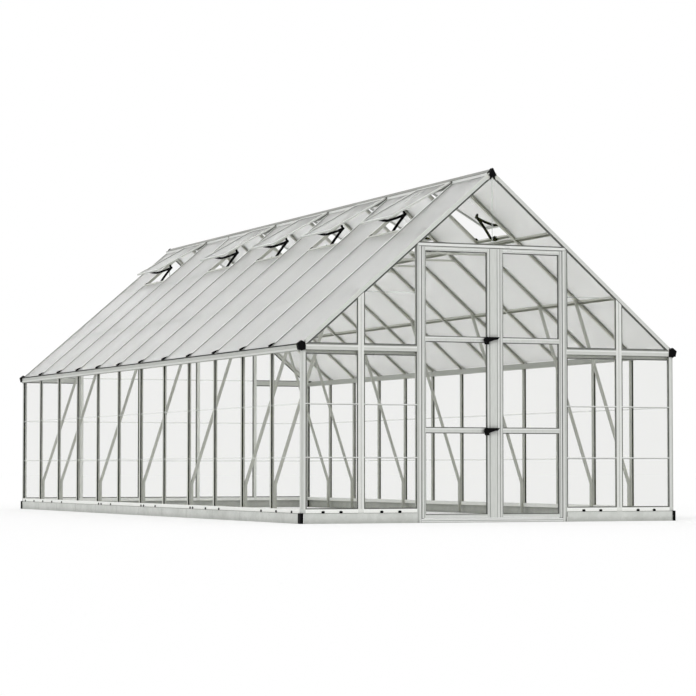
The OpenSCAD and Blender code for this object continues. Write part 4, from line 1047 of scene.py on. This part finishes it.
# 1 where the camera, a mirror or a clear sheet looks at something,
# and 0 for the light that falls on the object
def lookedAt(tree):
    paths = tree.nodes.new("ShaderNodeLightPath")
    first = tree.nodes.new("ShaderNodeMath")
    first.operation = "MAXIMUM"
    second = tree.nodes.new("ShaderNodeMath")
    second.operation = "MAXIMUM"
    tree.links.new(paths.outputs["Is Camera Ray"], first.inputs[0])
    tree.links.new(paths.outputs["Is Glossy Ray"], first.inputs[1])
    tree.links.new(first.outputs[0], second.inputs[0])
    tree.links.new(paths.outputs["Is Transmission Ray"], second.inputs[1])
    return second.outputs[0]


floorSetup = {"size": 120, "level": -0.0005, "colour": (0.78, 0.78, 0.78), "rough": 0.9, "lift": 0.2033}
bm = bmesh.new()
bmesh.ops.create_grid(bm, x_segments=1, y_segments=1, size=floorSetup["size"])
floorMesh = bpy.data.meshes.new("paleFloor")
bm.to_mesh(floorMesh)
bm.free()
floor = bpy.data.objects.new("paleFloor", floorMesh)
floor.location.z = floorSetup["level"]
scene.collection.objects.link(floor)
floorMat, floorTree, floorShader = newMaterial("paleFloor")
floorShader.inputs["Base Color"].default_value = (*floorSetup["colour"], 1)
floorShader.inputs["Roughness"].default_value = floorSetup["rough"]
floorShader.inputs["Specular IOR Level"].default_value = 0
floorShader.inputs["Emission Color"].default_value = (1, 1, 1, 1)
floorLift = spread(floorTree, lookedAt(floorTree), 0, floorSetup["lift"], start=0, end=1)
floorTree.links.new(floorLift, floorShader.inputs["Emission Strength"])
floorMesh.materials.append(floorMat)

lightSetup = {"sky": 0.80, "backdrop": 1.0, "sun": 0.95, "sunAngle": 25, "sunFrom": (-0.55, -0.75, 1.0)}
world = bpy.data.worlds.new("softStudio")
scene.world = world
world.use_nodes = True
worldTree = world.node_tree
worldTree.nodes.clear()
worldOut = worldTree.nodes.new("ShaderNodeOutputWorld")
sky = worldTree.nodes.new("ShaderNodeBackground")
sky.inputs["Color"].default_value = (1, 1, 1, 1)
sky.inputs["Strength"].default_value = lightSetup["sky"]
backdrop = worldTree.nodes.new("ShaderNodeBackground")
backdrop.inputs["Color"].default_value = (1, 1, 1, 1)
backdrop.inputs["Strength"].default_value = lightSetup["backdrop"]
pick = worldTree.nodes.new("ShaderNodeMixShader")
worldTree.links.new(lookedAt(worldTree), pick.inputs[0])
worldTree.links.new(sky.outputs[0], pick.inputs[1])
worldTree.links.new(backdrop.outputs[0], pick.inputs[2])
worldTree.links.new(pick.outputs[0], worldOut.inputs["Surface"])

sunData = bpy.data.lights.new("softSun", "SUN")
sunData.energy = lightSetup["sun"]
sunData.angle = math.radians(lightSetup["sunAngle"])
sun = bpy.data.objects.new("softSun", sunData)
sun.rotation_euler = Vector(lightSetup["sunFrom"]).to_track_quat("Z", "Y").to_euler()
scene.collection.objects.link(sun)
print("floor and light set")
